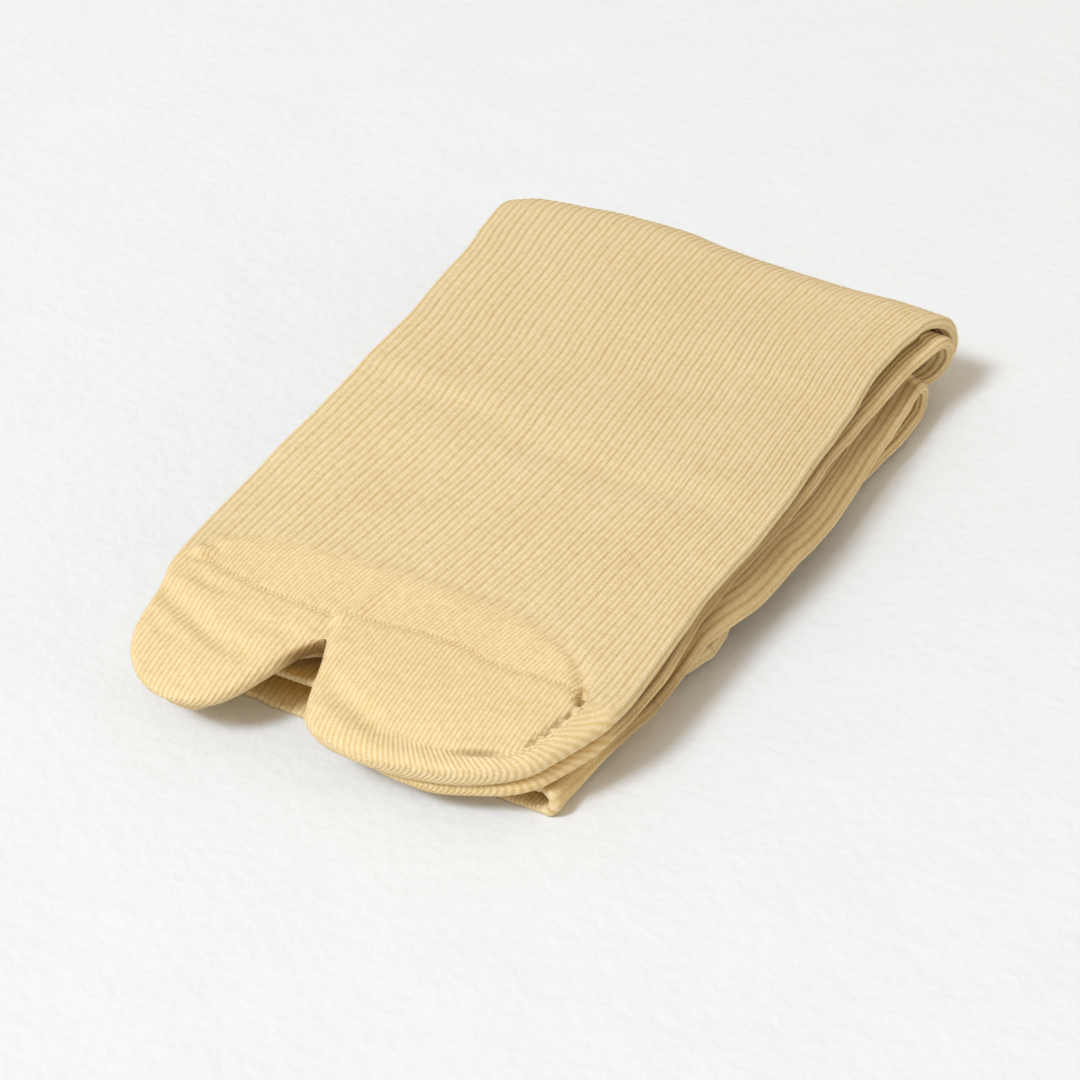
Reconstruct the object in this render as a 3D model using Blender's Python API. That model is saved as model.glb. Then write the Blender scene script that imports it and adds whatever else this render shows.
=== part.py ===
"""A pair of ribbed tabi socks, laid one on the other and folded together.

The pair is first folded in half, cuffs under the toes, and then the doubled
end is turned under once more.  Each sock is one knitted tube: two toe pockets,
foot, leg and an open cuff.  Each is built as a real tube, an outer skin and an
inner skin one wall apart, swept along its folded path and closed only at the
toes.  X runs across the feet, +Y runs from the toes to the folded end, +Z is
up.  Lengths in the tables are millimetres.
"""
import bpy
import math
import numpy as np

# ---------------------------------------------------------------- sizes (mm)
MM = 0.001
WALL = 1.0            # one thickness of the rib knit
FLAT = 2.2            # a sock pressed flat: two walls and a 0.2 mm slit
TURN_Y = 65.5         # centre line of the outer turns
INNER_TURN_Y = 60.0   # centre line of the lower sock's inner turn
NEST_TURN_Y = 57.0    # centre line of the upper sock's inner turn
UNDER_TURN_Y = 10.0   # centre line of the upper sock's hidden turn, under the middle
TUCK_TURN_Y = 18.0    # the lower sock's hidden turn, inside that one
EDGE_START = 33.0     # from here to EDGE_END the near edges sag and fan out
EDGE_END = 44.0
FAR_START = 38.0      # the same on the far side, measured towards -X
FAR_END = 46.0
CROTCH_X = -11.3      # the split between the big toe and the other four
CROTCH_Y = -46.5
MIDDLE_X = 12.0       # a section point on the broad side of the split
CENTRE_X = 0.50       # middle of the folded pair, taken to the origin
CENTRE_Y = 3.60

# Level of each flattened layer through the folded half (centre height).
LEVEL = dict(upper_foot=18.6, lower_foot=16.1, lower_leg=13.6, upper_leg=11.1,
             upper_back=8.6, lower_back=6.1, lower_under=3.6, upper_under=1.1)

# Stretches of each sock, toes to cuff.  Rows of an "arm" are at a Y; rows of a
# "turn" are at a fraction of the half circle.
# columns:        at,    z,    thick, far,   near, sag near, sag far
UPPER_FOOT = [
    (-46.5,  12.6,  3.0, -41.8,  37.6,  0.5,  0.6),
    (-40.0,  13.1,  2.6, -42.2,  38.2,  0.6,  0.8),
    (-30.0,  14.1,  2.4, -42.0,  38.6,  0.8,  1.0),
    (-20.0,  15.3,  2.3, -41.2,  38.8,  1.0,  1.2),
    (-10.0,  16.5,  2.2, -40.3,  39.8,  1.3,  1.3),
    (-1.0,   17.7,  2.2, -39.8,  40.7,  1.5,  1.4),
    (8.0,    18.5,  2.2, -39.6,  41.1,  1.5,  1.5),
    (22.0,   18.6,  2.2, -39.7,  40.6,  1.5,  1.5),
    (36.0,   18.6,  2.2, -41.2,  40.6,  1.4,  1.5),
    (48.0,   18.6,  2.2, -42.3,  40.3,  1.2,  1.6),
    (58.0,   18.6,  2.2, -43.9,  40.6,  0.9,  1.6),
    (65.5,   18.6,  2.2, -44.8,  41.8,  0.8,  1.6)]
UPPER_TURN = [
    (0.25,    0.0,  2.2, -45.0,  44.6,  0.6,  1.2),
    (0.50,    0.0,  2.2, -45.2,  46.2,  0.5,  0.7),
    (0.75,    0.0,  2.2, -45.2,  43.6,  0.3,  0.3),
    (0.88,    0.0,  2.2, -45.0,  38.8,  0.0,  0.0)]
UPPER_UNDER = [
    (65.5,    1.1,  2.2, -44.8,  35.5,  0.0,  0.0),
    (58.0,    1.1,  2.2, -44.4,  32.0,  0.0,  0.0),
    (34.0,    1.1,  2.2, -43.0,  31.5,  0.0,  0.0),
    (10.0,    1.1,  2.2, -42.6,  31.8,  0.0,  0.0)]
UPPER_HIDDEN = [
    (0.50,    0.0,  2.2, -42.8,  32.0,  0.0,  0.0)]
UPPER_BACK = [
    (10.0,    8.6,  2.2, -43.2,  31.6,  0.0,  0.6),
    (34.0,    8.6,  2.2, -44.2,  31.0,  0.0,  1.0),
    (57.0,    8.6,  2.2, -45.0,  31.4,  0.0,  1.0)]
UPPER_NEST = [
    (0.50,    0.0,  2.2, -45.2,  31.6,  0.0,  1.0)]
UPPER_LEG = [
    (57.0,   11.1,  2.2, -45.0,  31.4,  0.0,  1.0),
    (34.0,   11.1,  2.2, -44.0,  31.0,  0.0,  1.0),
    (14.0,   11.1,  2.2, -42.8,  32.0,  6.0,  1.0),
    (5.0,    10.9,  2.2, -42.0,  34.2,  7.6,  1.0),
    (-1.0,   10.0,  2.2, -41.4,  37.6,  8.1,  1.0),
    (-6.0,    8.7,  2.2, -41.0,  39.6,  7.9,  0.9),
    (-12.0,   6.6,  2.2, -40.6,  40.4,  6.8,  0.6),
    (-18.0,   4.7,  2.2, -40.3,  38.9,  5.6,  0.3),
    (-25.0,   2.7,  2.2, -40.0,  36.6,  4.2,  0.0),
    (-31.0,   1.2,  2.2, -39.6,  35.4,  0.0,  0.0),
    (-38.0,   1.15, 2.3, -39.2,  34.7,  0.0,  0.0)]

LOWER_FOOT = [
    (-46.5,   9.0,  2.8, -40.6,  37.0,  0.6,  0.6),
    (-40.0,   9.7,  2.4, -41.2,  38.2,  0.7,  0.8),
    (-30.0,  10.9,  2.2, -41.2,  38.9,  0.9,  1.0),
    (-20.0,  12.3,  2.2, -40.4,  38.4,  1.8,  1.2),
    (-10.0,  13.7,  2.2, -39.6,  38.8,  3.0,  1.4),
    (-1.0,   15.0,  2.2, -39.2,  39.6,  4.0,  1.7),
    (8.0,    15.9,  2.2, -39.0,  40.7,  4.3,  2.0),
    (22.0,   16.1,  2.2, -39.2,  40.4,  4.4,  2.4),
    (36.0,   16.1,  2.2, -40.6,  41.2,  4.1,  2.6),
    (48.0,   16.1,  2.2, -41.6,  42.2,  3.7,  2.8),
    (58.0,   16.1,  2.2, -43.0,  42.9,  3.3,  2.8),
    (65.5,   16.1,  2.2, -43.8,  44.2,  2.7,  2.8)]
LOWER_TURN = [
    (0.25,    0.0,  2.2, -44.0,  45.2,  1.6,  2.2),
    (0.50,    0.0,  2.2, -44.0,  45.3,  1.0,  1.2),
    (0.72,    0.0,  2.2, -43.8,  44.4,  0.6,  0.5),
    (0.86,    0.0,  2.2, -43.6,  42.4,  0.6,  0.2)]
LOWER_UNDER = [
    (65.5,    3.6,  2.2, -43.4,  36.0,  0.3,  0.0),
    (58.0,    3.6,  2.2, -43.0,  32.2,  0.0,  0.0),
    (34.0,    3.6,  2.2, -41.6,  31.4,  0.0,  0.0),
    (18.0,    3.6,  2.2, -41.0,  31.6,  0.0,  0.0)]
LOWER_HIDDEN = [
    (0.50,    0.0,  2.2, -40.8,  31.8,  0.0,  0.0)]
LOWER_BACK = [
    (18.0,    6.1,  2.2, -37.4,  31.6,  0.0,  0.0),
    (32.0,    6.1,  2.2, -37.0,  32.6,  2.0,  0.0),
    (39.0,    6.1,  2.2, -37.0,  38.5,  3.4,  0.0),
    (46.0,    6.1,  2.2, -37.0,  43.4,  3.7,  0.0),
    (53.0,    6.1,  2.2, -37.0,  44.6,  3.7,  0.0),
    (60.0,    6.1,  2.2, -37.2,  44.8,  3.7,  0.0)]
LOWER_NEST = [
    (0.50,    0.0,  2.2, -37.4,  44.8,  4.7,  0.0)]
LOWER_LEG = [
    (60.0,   13.6,  2.2, -37.2,  44.3,  5.6,  0.0),
    (50.0,   13.6,  2.2, -37.0,  44.2,  6.4,  0.0),
    (40.0,   13.6,  2.2, -36.8,  44.0,  7.6,  0.0),
    (30.0,   13.6,  2.2, -36.6,  43.9,  8.2,  0.0),
    (20.0,   13.6,  2.2, -36.6,  43.4,  8.4,  0.0),
    (10.0,   13.6,  2.2, -36.8,  42.2,  8.5,  0.0),
    (1.0,    12.9,  2.2, -37.2,  41.2,  8.2,  0.0),
    (-8.0,   11.4,  2.2, -37.6,  40.3,  6.9,  0.0),
    (-15.0,   9.3,  2.2, -38.0,  39.3,  4.7,  0.0),
    (-25.0,   6.3,  2.3, -38.8,  38.6,  1.5,  0.0),
    (-32.0,   4.8,  2.6, -39.2,  37.9,  0.3,  0.0),
    (-38.0,   4.25, 3.0, -39.4,  36.8,  0.0,  0.0),
    (-45.0,   3.35, 3.8, -39.6,  35.6,  0.0,  0.0),
    (-51.0,   2.6,  4.5, -39.4,  34.9,  0.0,  0.0),
    (-57.0,   2.6,  5.1, -39.0,  34.4,  0.0,  0.0)]

# Toe pockets of the upper sock.  columns: Y, z, thick, far, near
UPPER_BIG_TOE = [
    (-50.5,  12.2,  3.6, -41.3, -12.3),
    (-55.0,  11.4,  4.0, -40.5, -13.2),
    (-60.0,  10.4,  4.0, -39.1, -14.8),
    (-64.5,   9.4,  3.7, -37.0, -16.8),
    (-68.2,   8.7,  3.0, -33.6, -19.0),
    (-70.3,   8.3,  2.5, -30.0, -22.2)]
UPPER_FOUR_TOES = [
    (-50.5,  12.2,  3.6, -10.1,  36.6),
    (-55.0,  11.4,  4.0,  -9.0,  34.7),
    (-59.2,  10.6,  4.0,  -7.6,  32.2),
    (-62.6,   9.9,  3.7,  -6.1,  27.6),
    (-65.6,   9.3,  3.2,  -4.0,  20.4),
    (-67.8,   8.9,  2.6,  -0.2,  12.6)]
LOWER_BIG_TOE = [
    (-50.5,   8.5,  3.0, -40.0, -12.8),
    (-55.0,   7.7,  3.2, -39.2, -13.8),
    (-59.4,   6.6,  3.2, -37.8, -15.4),
    (-63.4,   5.7,  3.0, -35.8, -17.2),
    (-66.8,   5.0,  2.6, -32.6, -19.4),
    (-68.8,   4.7,  2.3, -29.4, -22.4)]
LOWER_FOUR_TOES = [
    (-50.5,   8.5,  3.0,  -9.7,  35.8),
    (-54.6,   7.7,  3.2,  -8.6,  33.8),
    (-58.2,   6.9,  3.2,  -7.2,  31.2),
    (-61.2,   6.1,  3.0,  -5.6,  26.8),
    (-64.0,   5.5,  2.7,  -3.6,  20.0),
    (-66.0,   5.1,  2.3,   0.2,  12.8)]

# How far the folded end bulges past its centre line.  columns: X, bulge
FOLD_BULGE = [(-46.0, -2.6), (-38.0, -0.8), (-30.0, 0.5), (-20.0, 1.9),
              (-10.0, 2.1), (0.0, 0.6), (10.0, -0.3), (25.0, -0.7),
              (36.0, -0.3), (46.0, 0.0)]

# Soft troughs and swells of the stack.
# columns: X, Y, half width across, half width along, turn (deg), height
RELIEF = [
    (-20.0,   4.0, 22.0,  3.2,   4.0, -0.35),
    (18.0,    0.0, 20.0,  3.0,  -3.0, -0.40),
    (-4.0,   40.0, 26.0, 14.0,   0.0,  0.35),
    (20.0,   30.0, 16.0,  5.0,  10.0, -0.30),
    (-24.0,  58.0, 14.0, 10.0,   0.0,  0.30),
    (12.0,  -18.0, 22.0, 10.0,   8.0,  0.30)]

SOCK_COLOUR = (0.76, 0.62, 0.34, 1.0)
SOCK_ROUGHNESS = 0.92


# ------------------------------------------------------------- small helpers
def smooth_table(xs, ys, x):
    """Monotone cubic through table rows: no overshoot between them."""
    xs, ys, x = (np.asarray(v, float) for v in (xs, ys, x))
    h = np.diff(xs)
    d = np.diff(ys) / h
    m = np.zeros(len(xs))
    for i in range(1, len(xs) - 1):
        if d[i - 1] * d[i] > 0:
            a, b = 2 * h[i] + h[i - 1], h[i] + 2 * h[i - 1]
            m[i] = (a + b) / (a / d[i - 1] + b / d[i])
    m[0], m[-1] = d[0], d[-1]
    x = np.clip(x, xs[0], xs[-1])
    k = np.clip(np.searchsorted(xs, x) - 1, 0, len(h) - 1)
    t = (x - xs[k]) / h[k]
    return ((1 + 2 * t) * (1 - t) ** 2 * ys[k] + t * (1 - t) ** 2 * h[k] * m[k]
            + t * t * (3 - 2 * t) * ys[k + 1] + t * t * (t - 1) * h[k] * m[k + 1])


def ease(t):
    t = np.clip(t, 0.0, 1.0)
    return t * t * (3 - 2 * t)


def relief(x, y):
    total = 0.0
    for cx, cy, wx, wy, turn, height in RELIEF:
        a = math.radians(turn)
        u = ((x - cx) * math.cos(a) + (y - cy) * math.sin(a)) / wx
        v = (-(x - cx) * math.sin(a) + (y - cy) * math.cos(a)) / wy
        total = total + height * math.exp(-(u * u + v * v) / 2)
    return total


def settle(x, y, z, sag_near=0.0, sag_far=0.0):
    """Moves a point of the straight stack to where the soft stack lies."""
    z = z - sag_near * float(ease((x - EDGE_START) / (EDGE_END - EDGE_START)))
    z = z - sag_far * float(ease((-x - FAR_START) / (FAR_END - FAR_START)))
    bulge = float(smooth_table(*zip(*FOLD_BULGE), x))
    y = y + bulge * float(ease((y - 45.0) / 20.0))
    z = z + relief(x, y) * max(0.0, z - 2.4) / 17.0
    return ((x - CENTRE_X) * MM, (y - CENTRE_Y) * MM, z * MM)


# ------------------------------------------------------ the path of one sock
def build_path(stretches):
    """Section rows along the whole sock, as arrays, with true normals.

    Returns dicts with y, z, normal (ny, nz), thick, far, near, sags."""
    rows = []
    for kind, spec, table in stretches:
        if kind == "arm":
            reverse = table[0][0] > table[-1][0]
            ys = [r[0] for r in table]
            for r in table:
                rows.append(dict(y=r[0], z=r[1], thick=r[2], far=r[3], near=r[4],
                                 sn=r[5], sf=r[6], head=-1.0 if reverse else 1.0,
                                 arm=table))
        else:
            cy, z_from, z_to, reach, side, steps = spec
            mid, half = (z_from + z_to) / 2, (z_from - z_to) / 2
            at = [0.0] + [r[0] for r in table] + [1.0]
            before, after = spec_rows(stretches, spec)
            cols = [[before[k]] + [r[k] for r in table] + [after[k]]
                    for k in range(2, 7)]
            # the section keeps the side that faced out before the turn
            keep = rows[-1]["head"] * (1.0 if half > 0 else -1.0)
            for i in range(1, steps):
                f = i / steps
                a = math.pi * f
                vals = [float(smooth_table(at, c, f)) for c in cols]
                rows.append(dict(y=cy + side * reach * math.sin(a),
                                 z=mid + half * math.cos(a),
                                 out=(keep * side * abs(half) * math.sin(a),
                                      keep * reach * math.cos(a) * (1 if half > 0 else -1)),
                                 thick=vals[0], far=vals[1], near=vals[2],
                                 sn=vals[3], sf=vals[4], arm=None))
    # normals: the side of the section that is outward on the outermost turn
    for r in rows:
        if r["arm"] is not None:
            table = sorted(r["arm"])
            ys, zs = [q[0] for q in table], [q[1] for q in table]
            e = 0.5
            slope = float((smooth_table(ys, zs, min(r["y"] + e, ys[-1]))
                           - smooth_table(ys, zs, max(r["y"] - e, ys[0])))
                          / (min(r["y"] + e, ys[-1]) - max(r["y"] - e, ys[0])))
            n = np.array([-slope, 1.0]) * r["head"]
        else:
            n = np.array(r["out"])
        r["n"] = n / np.linalg.norm(n)
    return rows


def spec_rows(stretches, spec):
    """The section rows just before and just after a turn."""
    index = [i for i, s in enumerate(stretches) if s[1] is spec][0]
    return stretches[index - 1][2][-1], stretches[index + 1][2][0]


# ------------------------------------------------------------------ sections
ARC = [math.radians(a) for a in (-90, -30, 30, 90)]


def section_points(row, far, near, inset):
    """One ring of a flattened tube, near edge first, anticlockwise."""
    half = row["thick"] / 2 - inset
    lo, hi = far + inset * 1.6, near - inset * 1.6
    flat_lo, flat_hi = lo + half, hi - half
    pts = [(flat_hi + half * math.cos(a), half * math.sin(a)) for a in ARC]
    bend = min(EDGE_START, flat_hi - 2.0)        # where the near edge may sag
    far_bend = max(-FAR_START, flat_lo + 2.0)    # and the far edge
    top = [((flat_hi + bend) / 2, half), (bend, half), (MIDDLE_X, half),
           (CROTCH_X, half), (far_bend, half)]
    pts += top
    pts += [(flat_lo - half * math.cos(a), half * math.sin(a)) for a in reversed(ARC)]
    pts += [(x, -w) for x, w in reversed(top)]
    out = []
    for x, w in pts:
        y = row["y"] + row["n"][0] * w
        z = row["z"] + row["n"][1] * w
        out.append(settle(x, y, z, row["sn"], row["sf"]))
    return out


class Skin:
    """Collects vertices and faces of one closed body."""

    def __init__(self):
        self.verts, self.faces = [], []

    def ring(self, pts):
        start = len(self.verts)
        self.verts += pts
        return list(range(start, start + len(pts)))

    def point(self, p):
        self.verts.append(p)
        return len(self.verts) - 1

    def bridge(self, a, b, flip=False):
        n = len(a)
        for i in range(n):
            j = (i + 1) % n
            f = (a[i], a[j], b[j], b[i])
            self.faces.append(f[::-1] if flip else f)

    def cap(self, a, tip, flip=False):
        n = len(a)
        for i in range(n):
            f = (a[i], a[(i + 1) % n], tip)
            self.faces.append(f[::-1] if flip else f)


def lobe_ring(row, far, near, inset, middles):
    """Ring of one toe pocket with a chosen number of points on each flat."""
    half = row["thick"] / 2 - inset
    lo, hi = far + inset * 1.6, near - inset * 1.6
    flat_lo, flat_hi = lo + half, hi - half
    pts = [(flat_hi + half * math.cos(a), half * math.sin(a)) for a in ARC]
    top = [(flat_hi + (flat_lo - flat_hi) * (k + 1) / (middles + 1), half)
           for k in range(middles)]
    pts += top
    pts += [(flat_lo - half * math.cos(a), half * math.sin(a)) for a in reversed(ARC)]
    pts += [(x, -w) for x, w in reversed(top)]
    return [settle(x, row["y"] + row["n"][0] * w, row["z"] + row["n"][1] * w,
                   row["sn"], row["sf"]) for x, w in pts]


def make_sock(name, stretches, big_toe, four_toes):
    rows = build_path(stretches)
    skin = Skin()
    ends = {}
    for which, inset in (("outer", 0.0), ("inner", WALL)):
        inside = which == "inner"
        rings = [skin.ring(section_points(r, r["far"], r["near"], inset))
                 for r in rows]
        for a, b in zip(rings, rings[1:]):
            skin.bridge(a, b, flip=not inside)
        ends[which] = rings[-1]

        # The first ring opens into two pockets that share the web between
        # the toes.  Ring: near arc 4, top 3, T, top 1, far arc 4, bottom 1,
        # B, bottom 3.
        first = rings[0]
        row = rows[0]
        half = row["thick"] / 2 - inset
        top_i, bottom_i = first[7], first[14]
        web = []
        for w in (0.4, -0.4):
            y = row["y"] + row["n"][0] * half * w
            z = row["z"] + row["n"][1] * half * w
            web.append(skin.point(settle(CROTCH_X, y + (0.9 if not inside else 1.9),
                                         z, row["sn"], row["sf"])))
        big_start = [bottom_i] + web[::-1] + [top_i] + first[8:9] + first[9:13] + first[13:14]
        four_start = first[0:4] + first[4:7] + [top_i] + web + [bottom_i] + first[15:18]
        for table, start, middles in ((big_toe, big_start, 1),
                                      (four_toes, four_start, 3)):
            last = start
            n_rows = len(table)
            for i, (y, z, thick, far, near) in enumerate(table):
                if inside:                      # the hollow ends a wall short
                    y = y + WALL * 1.1 * (i + 1) / n_rows
                slope = (row["z"] - table[-1][1]) / (row["y"] - table[-1][0])
                n = np.array([-slope, 1.0]) / math.hypot(slope, 1.0)
                toe = dict(y=y, z=z, thick=thick, n=n,
                           sn=row["sn"], sf=row["sf"])
                if i == n_rows - 1:
                    toe["thick"] = max(thick, 2 * WALL + 0.3)
                ring = skin.ring(lobe_ring(toe, far, near, inset, middles))
                # the tube runs from the tips to the cuff, so pockets join
                # the other way round
                skin.bridge(ring, last, flip=not inside)
                last = ring
            y, z, thick, far, near = table[-1]
            tip_y = y - (0.9 if not inside else -WALL * 0.8)
            tip = skin.point(settle((far + near) / 2, tip_y, z - 0.1,
                                    row["sn"], row["sf"]))
            skin.cap(last, tip, flip=inside)
    # The open cuff: one wall of hem between the two skins.
    skin.bridge(ends["outer"], ends["inner"], flip=True)

    mesh = bpy.data.meshes.new(name)
    mesh.from_pydata(skin.verts, [], skin.faces)
    mesh.validate()
    mesh.update()
    obj = bpy.data.objects.new(name, mesh)
    bpy.context.collection.objects.link(obj)
    mat = bpy.data.materials.new(name + "_cotton")
    mat.use_nodes = True
    bsdf = mat.node_tree.nodes["Principled BSDF"]
    bsdf.inputs["Base Color"].default_value = SOCK_COLOUR
    bsdf.inputs["Roughness"].default_value = SOCK_ROUGHNESS
    bsdf.inputs["Metallic"].default_value = 0.0
    mat.diffuse_color = SOCK_COLOUR
    mesh.materials.append(mat)
    mesh.shade_smooth()
    mesh.set_sharp_from_angle(angle=math.radians(50))
    return obj


def main():
    for obj in list(bpy.data.objects):
        bpy.data.objects.remove(obj, do_unlink=True)
    upper = [
        ("arm", None, UPPER_FOOT),
        ("turn", (TURN_Y, LEVEL["upper_foot"], LEVEL["upper_under"], 9.7, 1, 8), UPPER_TURN),
        ("arm", None, UPPER_UNDER),
        ("turn", (UNDER_TURN_Y, LEVEL["upper_under"], LEVEL["upper_back"], 3.6, -1, 6), UPPER_HIDDEN),
        ("arm", None, UPPER_BACK),
        ("turn", (NEST_TURN_Y, LEVEL["upper_back"], LEVEL["upper_leg"], 1.3, 1, 4), UPPER_NEST),
        ("arm", None, UPPER_LEG)]
    lower = [
        ("arm", None, LOWER_FOOT),
        ("turn", (TURN_Y, LEVEL["lower_foot"], LEVEL["lower_under"], 7.2, 1, 8), LOWER_TURN),
        ("arm", None, LOWER_UNDER),
        ("turn", (TUCK_TURN_Y, LEVEL["lower_under"], LEVEL["lower_back"], 1.3, -1, 4), LOWER_HIDDEN),
        ("arm", None, LOWER_BACK),
        ("turn", (INNER_TURN_Y, LEVEL["lower_back"], LEVEL["lower_leg"], 3.9, 1, 6), LOWER_NEST),
        ("arm", None, LOWER_LEG)]
    make_sock("sock_upper", upper, UPPER_BIG_TOE, UPPER_FOUR_TOES)
    make_sock("sock_lower", lower, LOWER_BIG_TOE, LOWER_FOUR_TOES)


main()
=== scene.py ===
"""A folded pair of ribbed tabi socks on a pale floor.

Each sock is a thin-walled knitted tube that follows the folded path of its CAD
solid.  The mesh of the rib knit is laid out wale by wale, so the ribs are real
ridges.  The toe pockets, the welt of each cuff and the seams are their own
pieces.  Tables are in millimetres, in the frame of the tables of the CAD
model; `settle` takes them to the row frame in metres.
"""
import math

import bpy
import numpy as np
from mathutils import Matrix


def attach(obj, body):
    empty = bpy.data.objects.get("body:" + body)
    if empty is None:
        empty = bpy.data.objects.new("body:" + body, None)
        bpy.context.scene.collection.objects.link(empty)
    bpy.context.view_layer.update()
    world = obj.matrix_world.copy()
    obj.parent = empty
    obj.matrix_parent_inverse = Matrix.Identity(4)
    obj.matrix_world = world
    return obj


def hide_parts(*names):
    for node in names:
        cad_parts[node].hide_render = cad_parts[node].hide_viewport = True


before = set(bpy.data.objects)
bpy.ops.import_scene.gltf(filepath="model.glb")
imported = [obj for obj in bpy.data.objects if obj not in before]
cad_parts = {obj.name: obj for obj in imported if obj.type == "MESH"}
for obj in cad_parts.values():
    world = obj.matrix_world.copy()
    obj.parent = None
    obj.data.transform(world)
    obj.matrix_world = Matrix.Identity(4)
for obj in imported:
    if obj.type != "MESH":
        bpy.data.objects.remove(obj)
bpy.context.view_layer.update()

MM = 0.001
WALL = 1.0
TURN_Y = 65.5
INNER_TURN_Y = 60.0
NEST_TURN_Y = 57.0
UNDER_TURN_Y = 10.0
TUCK_TURN_Y = 18.0
EDGE_START, EDGE_END = 33.0, 44.0
FAR_START, FAR_END = 38.0, 46.0
SEAM_Y = -44.5        # the toe seam's mean line
CENTRE_X, CENTRE_Y = 0.50, 3.60
PI = math.pi

LEVEL = dict(upper_foot=18.6, lower_foot=16.1, lower_leg=13.6, upper_leg=11.1,
             upper_back=8.6, lower_back=6.1, lower_under=3.6, upper_under=1.1)

# at, z, thick, far, near, sag near, sag far
UPPER_FOOT = [
    (-51.0, 12.2, 3.5, -40.4, 35.5, 0.5, 0.6), (-46.5, 12.6, 3.0, -41.8, 37.2, 0.5, 0.6), (-40.0, 13.1, 2.6, -42.2, 38.2, 0.6, 0.8),
    (-30.0, 14.1, 2.4, -42.0, 38.6, 0.8, 1.0), (-20.0, 15.3, 2.3, -41.2, 38.8, 1.0, 1.2),
    (-10.0, 16.5, 2.2, -40.3, 39.8, 1.3, 1.3), (-1.0, 17.7, 2.2, -39.8, 40.7, 1.5, 1.4),
    (8.0, 18.5, 2.2, -39.6, 41.1, 1.5, 1.5), (22.0, 18.6, 2.2, -39.7, 40.6, 1.5, 1.5),
    (36.0, 18.6, 2.2, -41.2, 40.6, 1.4, 1.5), (48.0, 18.6, 2.2, -42.3, 40.3, 1.2, 1.6),
    (58.0, 18.6, 2.2, -43.9, 40.6, 0.9, 1.6), (65.5, 18.6, 2.2, -44.8, 41.8, 0.8, 1.6)]
UPPER_TURN = [
    (0.25, 0.0, 2.2, -45.0, 44.3, 0.6, 1.2), (0.50, 0.0, 2.2, -45.2, 45.3, 0.5, 0.7),
    (0.75, 0.0, 2.2, -45.2, 43.0, 0.3, 0.3), (0.88, 0.0, 2.2, -45.0, 38.8, 0.0, 0.0)]
UPPER_UNDER = [
    (65.5, 1.1, 2.2, -44.8, 35.5, 0.0, 0.0), (58.0, 1.1, 2.2, -44.4, 32.0, 0.0, 0.0),
    (34.0, 1.1, 2.2, -43.0, 31.5, 0.0, 0.0), (10.0, 1.1, 2.2, -42.6, 31.8, 0.0, 0.0)]
UPPER_HIDDEN = [(0.50, 0.0, 2.2, -42.8, 32.0, 0.0, 0.0)]
UPPER_BACK = [
    (10.0, 8.6, 2.2, -43.2, 31.6, 0.0, 0.6), (34.0, 8.6, 2.2, -44.2, 31.0, 0.0, 1.0),
    (57.0, 8.6, 2.2, -45.0, 31.4, 0.0, 1.0)]
UPPER_NEST = [(0.50, 0.0, 2.2, -45.2, 31.6, 0.0, 1.0)]
UPPER_LEG = [
    (57.0, 11.1, 2.2, -45.0, 31.4, 0.0, 1.0), (34.0, 11.1, 2.2, -44.0, 31.0, 0.0, 1.0),
    (14.0, 11.1, 2.2, -42.8, 32.0, 6.0, 1.0), (5.0, 10.9, 2.2, -42.0, 34.0, 7.4, 1.0),
    (-1.0, 10.0, 2.2, -41.4, 37.2, 7.6, 1.0), (-6.0, 8.7, 2.2, -41.0, 39.2, 7.0, 0.9),
    (-12.0, 6.6, 2.2, -40.6, 40.0, 5.6, 0.6), (-18.0, 4.7, 2.2, -40.3, 38.6, 4.0, 0.3),
    (-25.0, 2.7, 2.2, -40.0, 36.0, 3.2, 0.0), (-31.0, 1.2, 2.2, -39.6, 35.0, 0.0, 0.0),
    (-38.0, 1.15, 2.3, -39.2, 34.7, 0.0, 0.0)]
LOWER_FOOT = [
    (-51.0, 8.4, 3.0, -39.4, 35.8, 0.6, 0.6), (-46.5, 9.0, 2.8, -40.6, 37.0, 0.6, 0.6), (-40.0, 9.7, 2.4, -41.2, 38.2, 0.7, 0.8),
    (-30.0, 10.9, 2.2, -41.2, 38.9, 0.9, 1.0), (-20.0, 12.3, 2.2, -40.4, 38.4, 1.8, 1.2),
    (-10.0, 13.7, 2.2, -39.6, 38.8, 2.7, 1.4), (-1.0, 15.0, 2.2, -39.2, 39.8, 3.4, 1.7),
    (8.0, 15.9, 2.2, -39.0, 40.9, 3.6, 2.0), (22.0, 16.1, 2.2, -39.2, 40.8, 3.7, 2.4),
    (36.0, 16.1, 2.2, -40.6, 41.4, 3.6, 2.6), (48.0, 16.1, 2.2, -41.6, 42.2, 3.5, 2.8),
    (58.0, 16.1, 2.2, -43.0, 42.9, 3.3, 2.8), (65.5, 16.1, 2.2, -43.8, 44.2, 2.7, 2.8)]
LOWER_TURN = [
    (0.25, 0.0, 2.2, -44.0, 45.2, 1.6, 2.2), (0.50, 0.0, 2.2, -44.0, 45.3, 1.0, 1.2),
    (0.72, 0.0, 2.2, -43.8, 44.4, 0.6, 0.5), (0.86, 0.0, 2.2, -43.6, 42.4, 0.6, 0.2)]
LOWER_UNDER = [
    (65.5, 3.6, 2.2, -43.4, 36.0, 0.3, 0.0), (58.0, 3.6, 2.2, -43.0, 32.2, 0.0, 0.0),
    (34.0, 3.6, 2.2, -41.6, 31.4, 0.0, 0.0), (18.0, 3.6, 2.2, -41.0, 31.6, 0.0, 0.0)]
LOWER_HIDDEN = [(0.50, 0.0, 2.2, -40.8, 31.8, 0.0, 0.0)]
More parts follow.
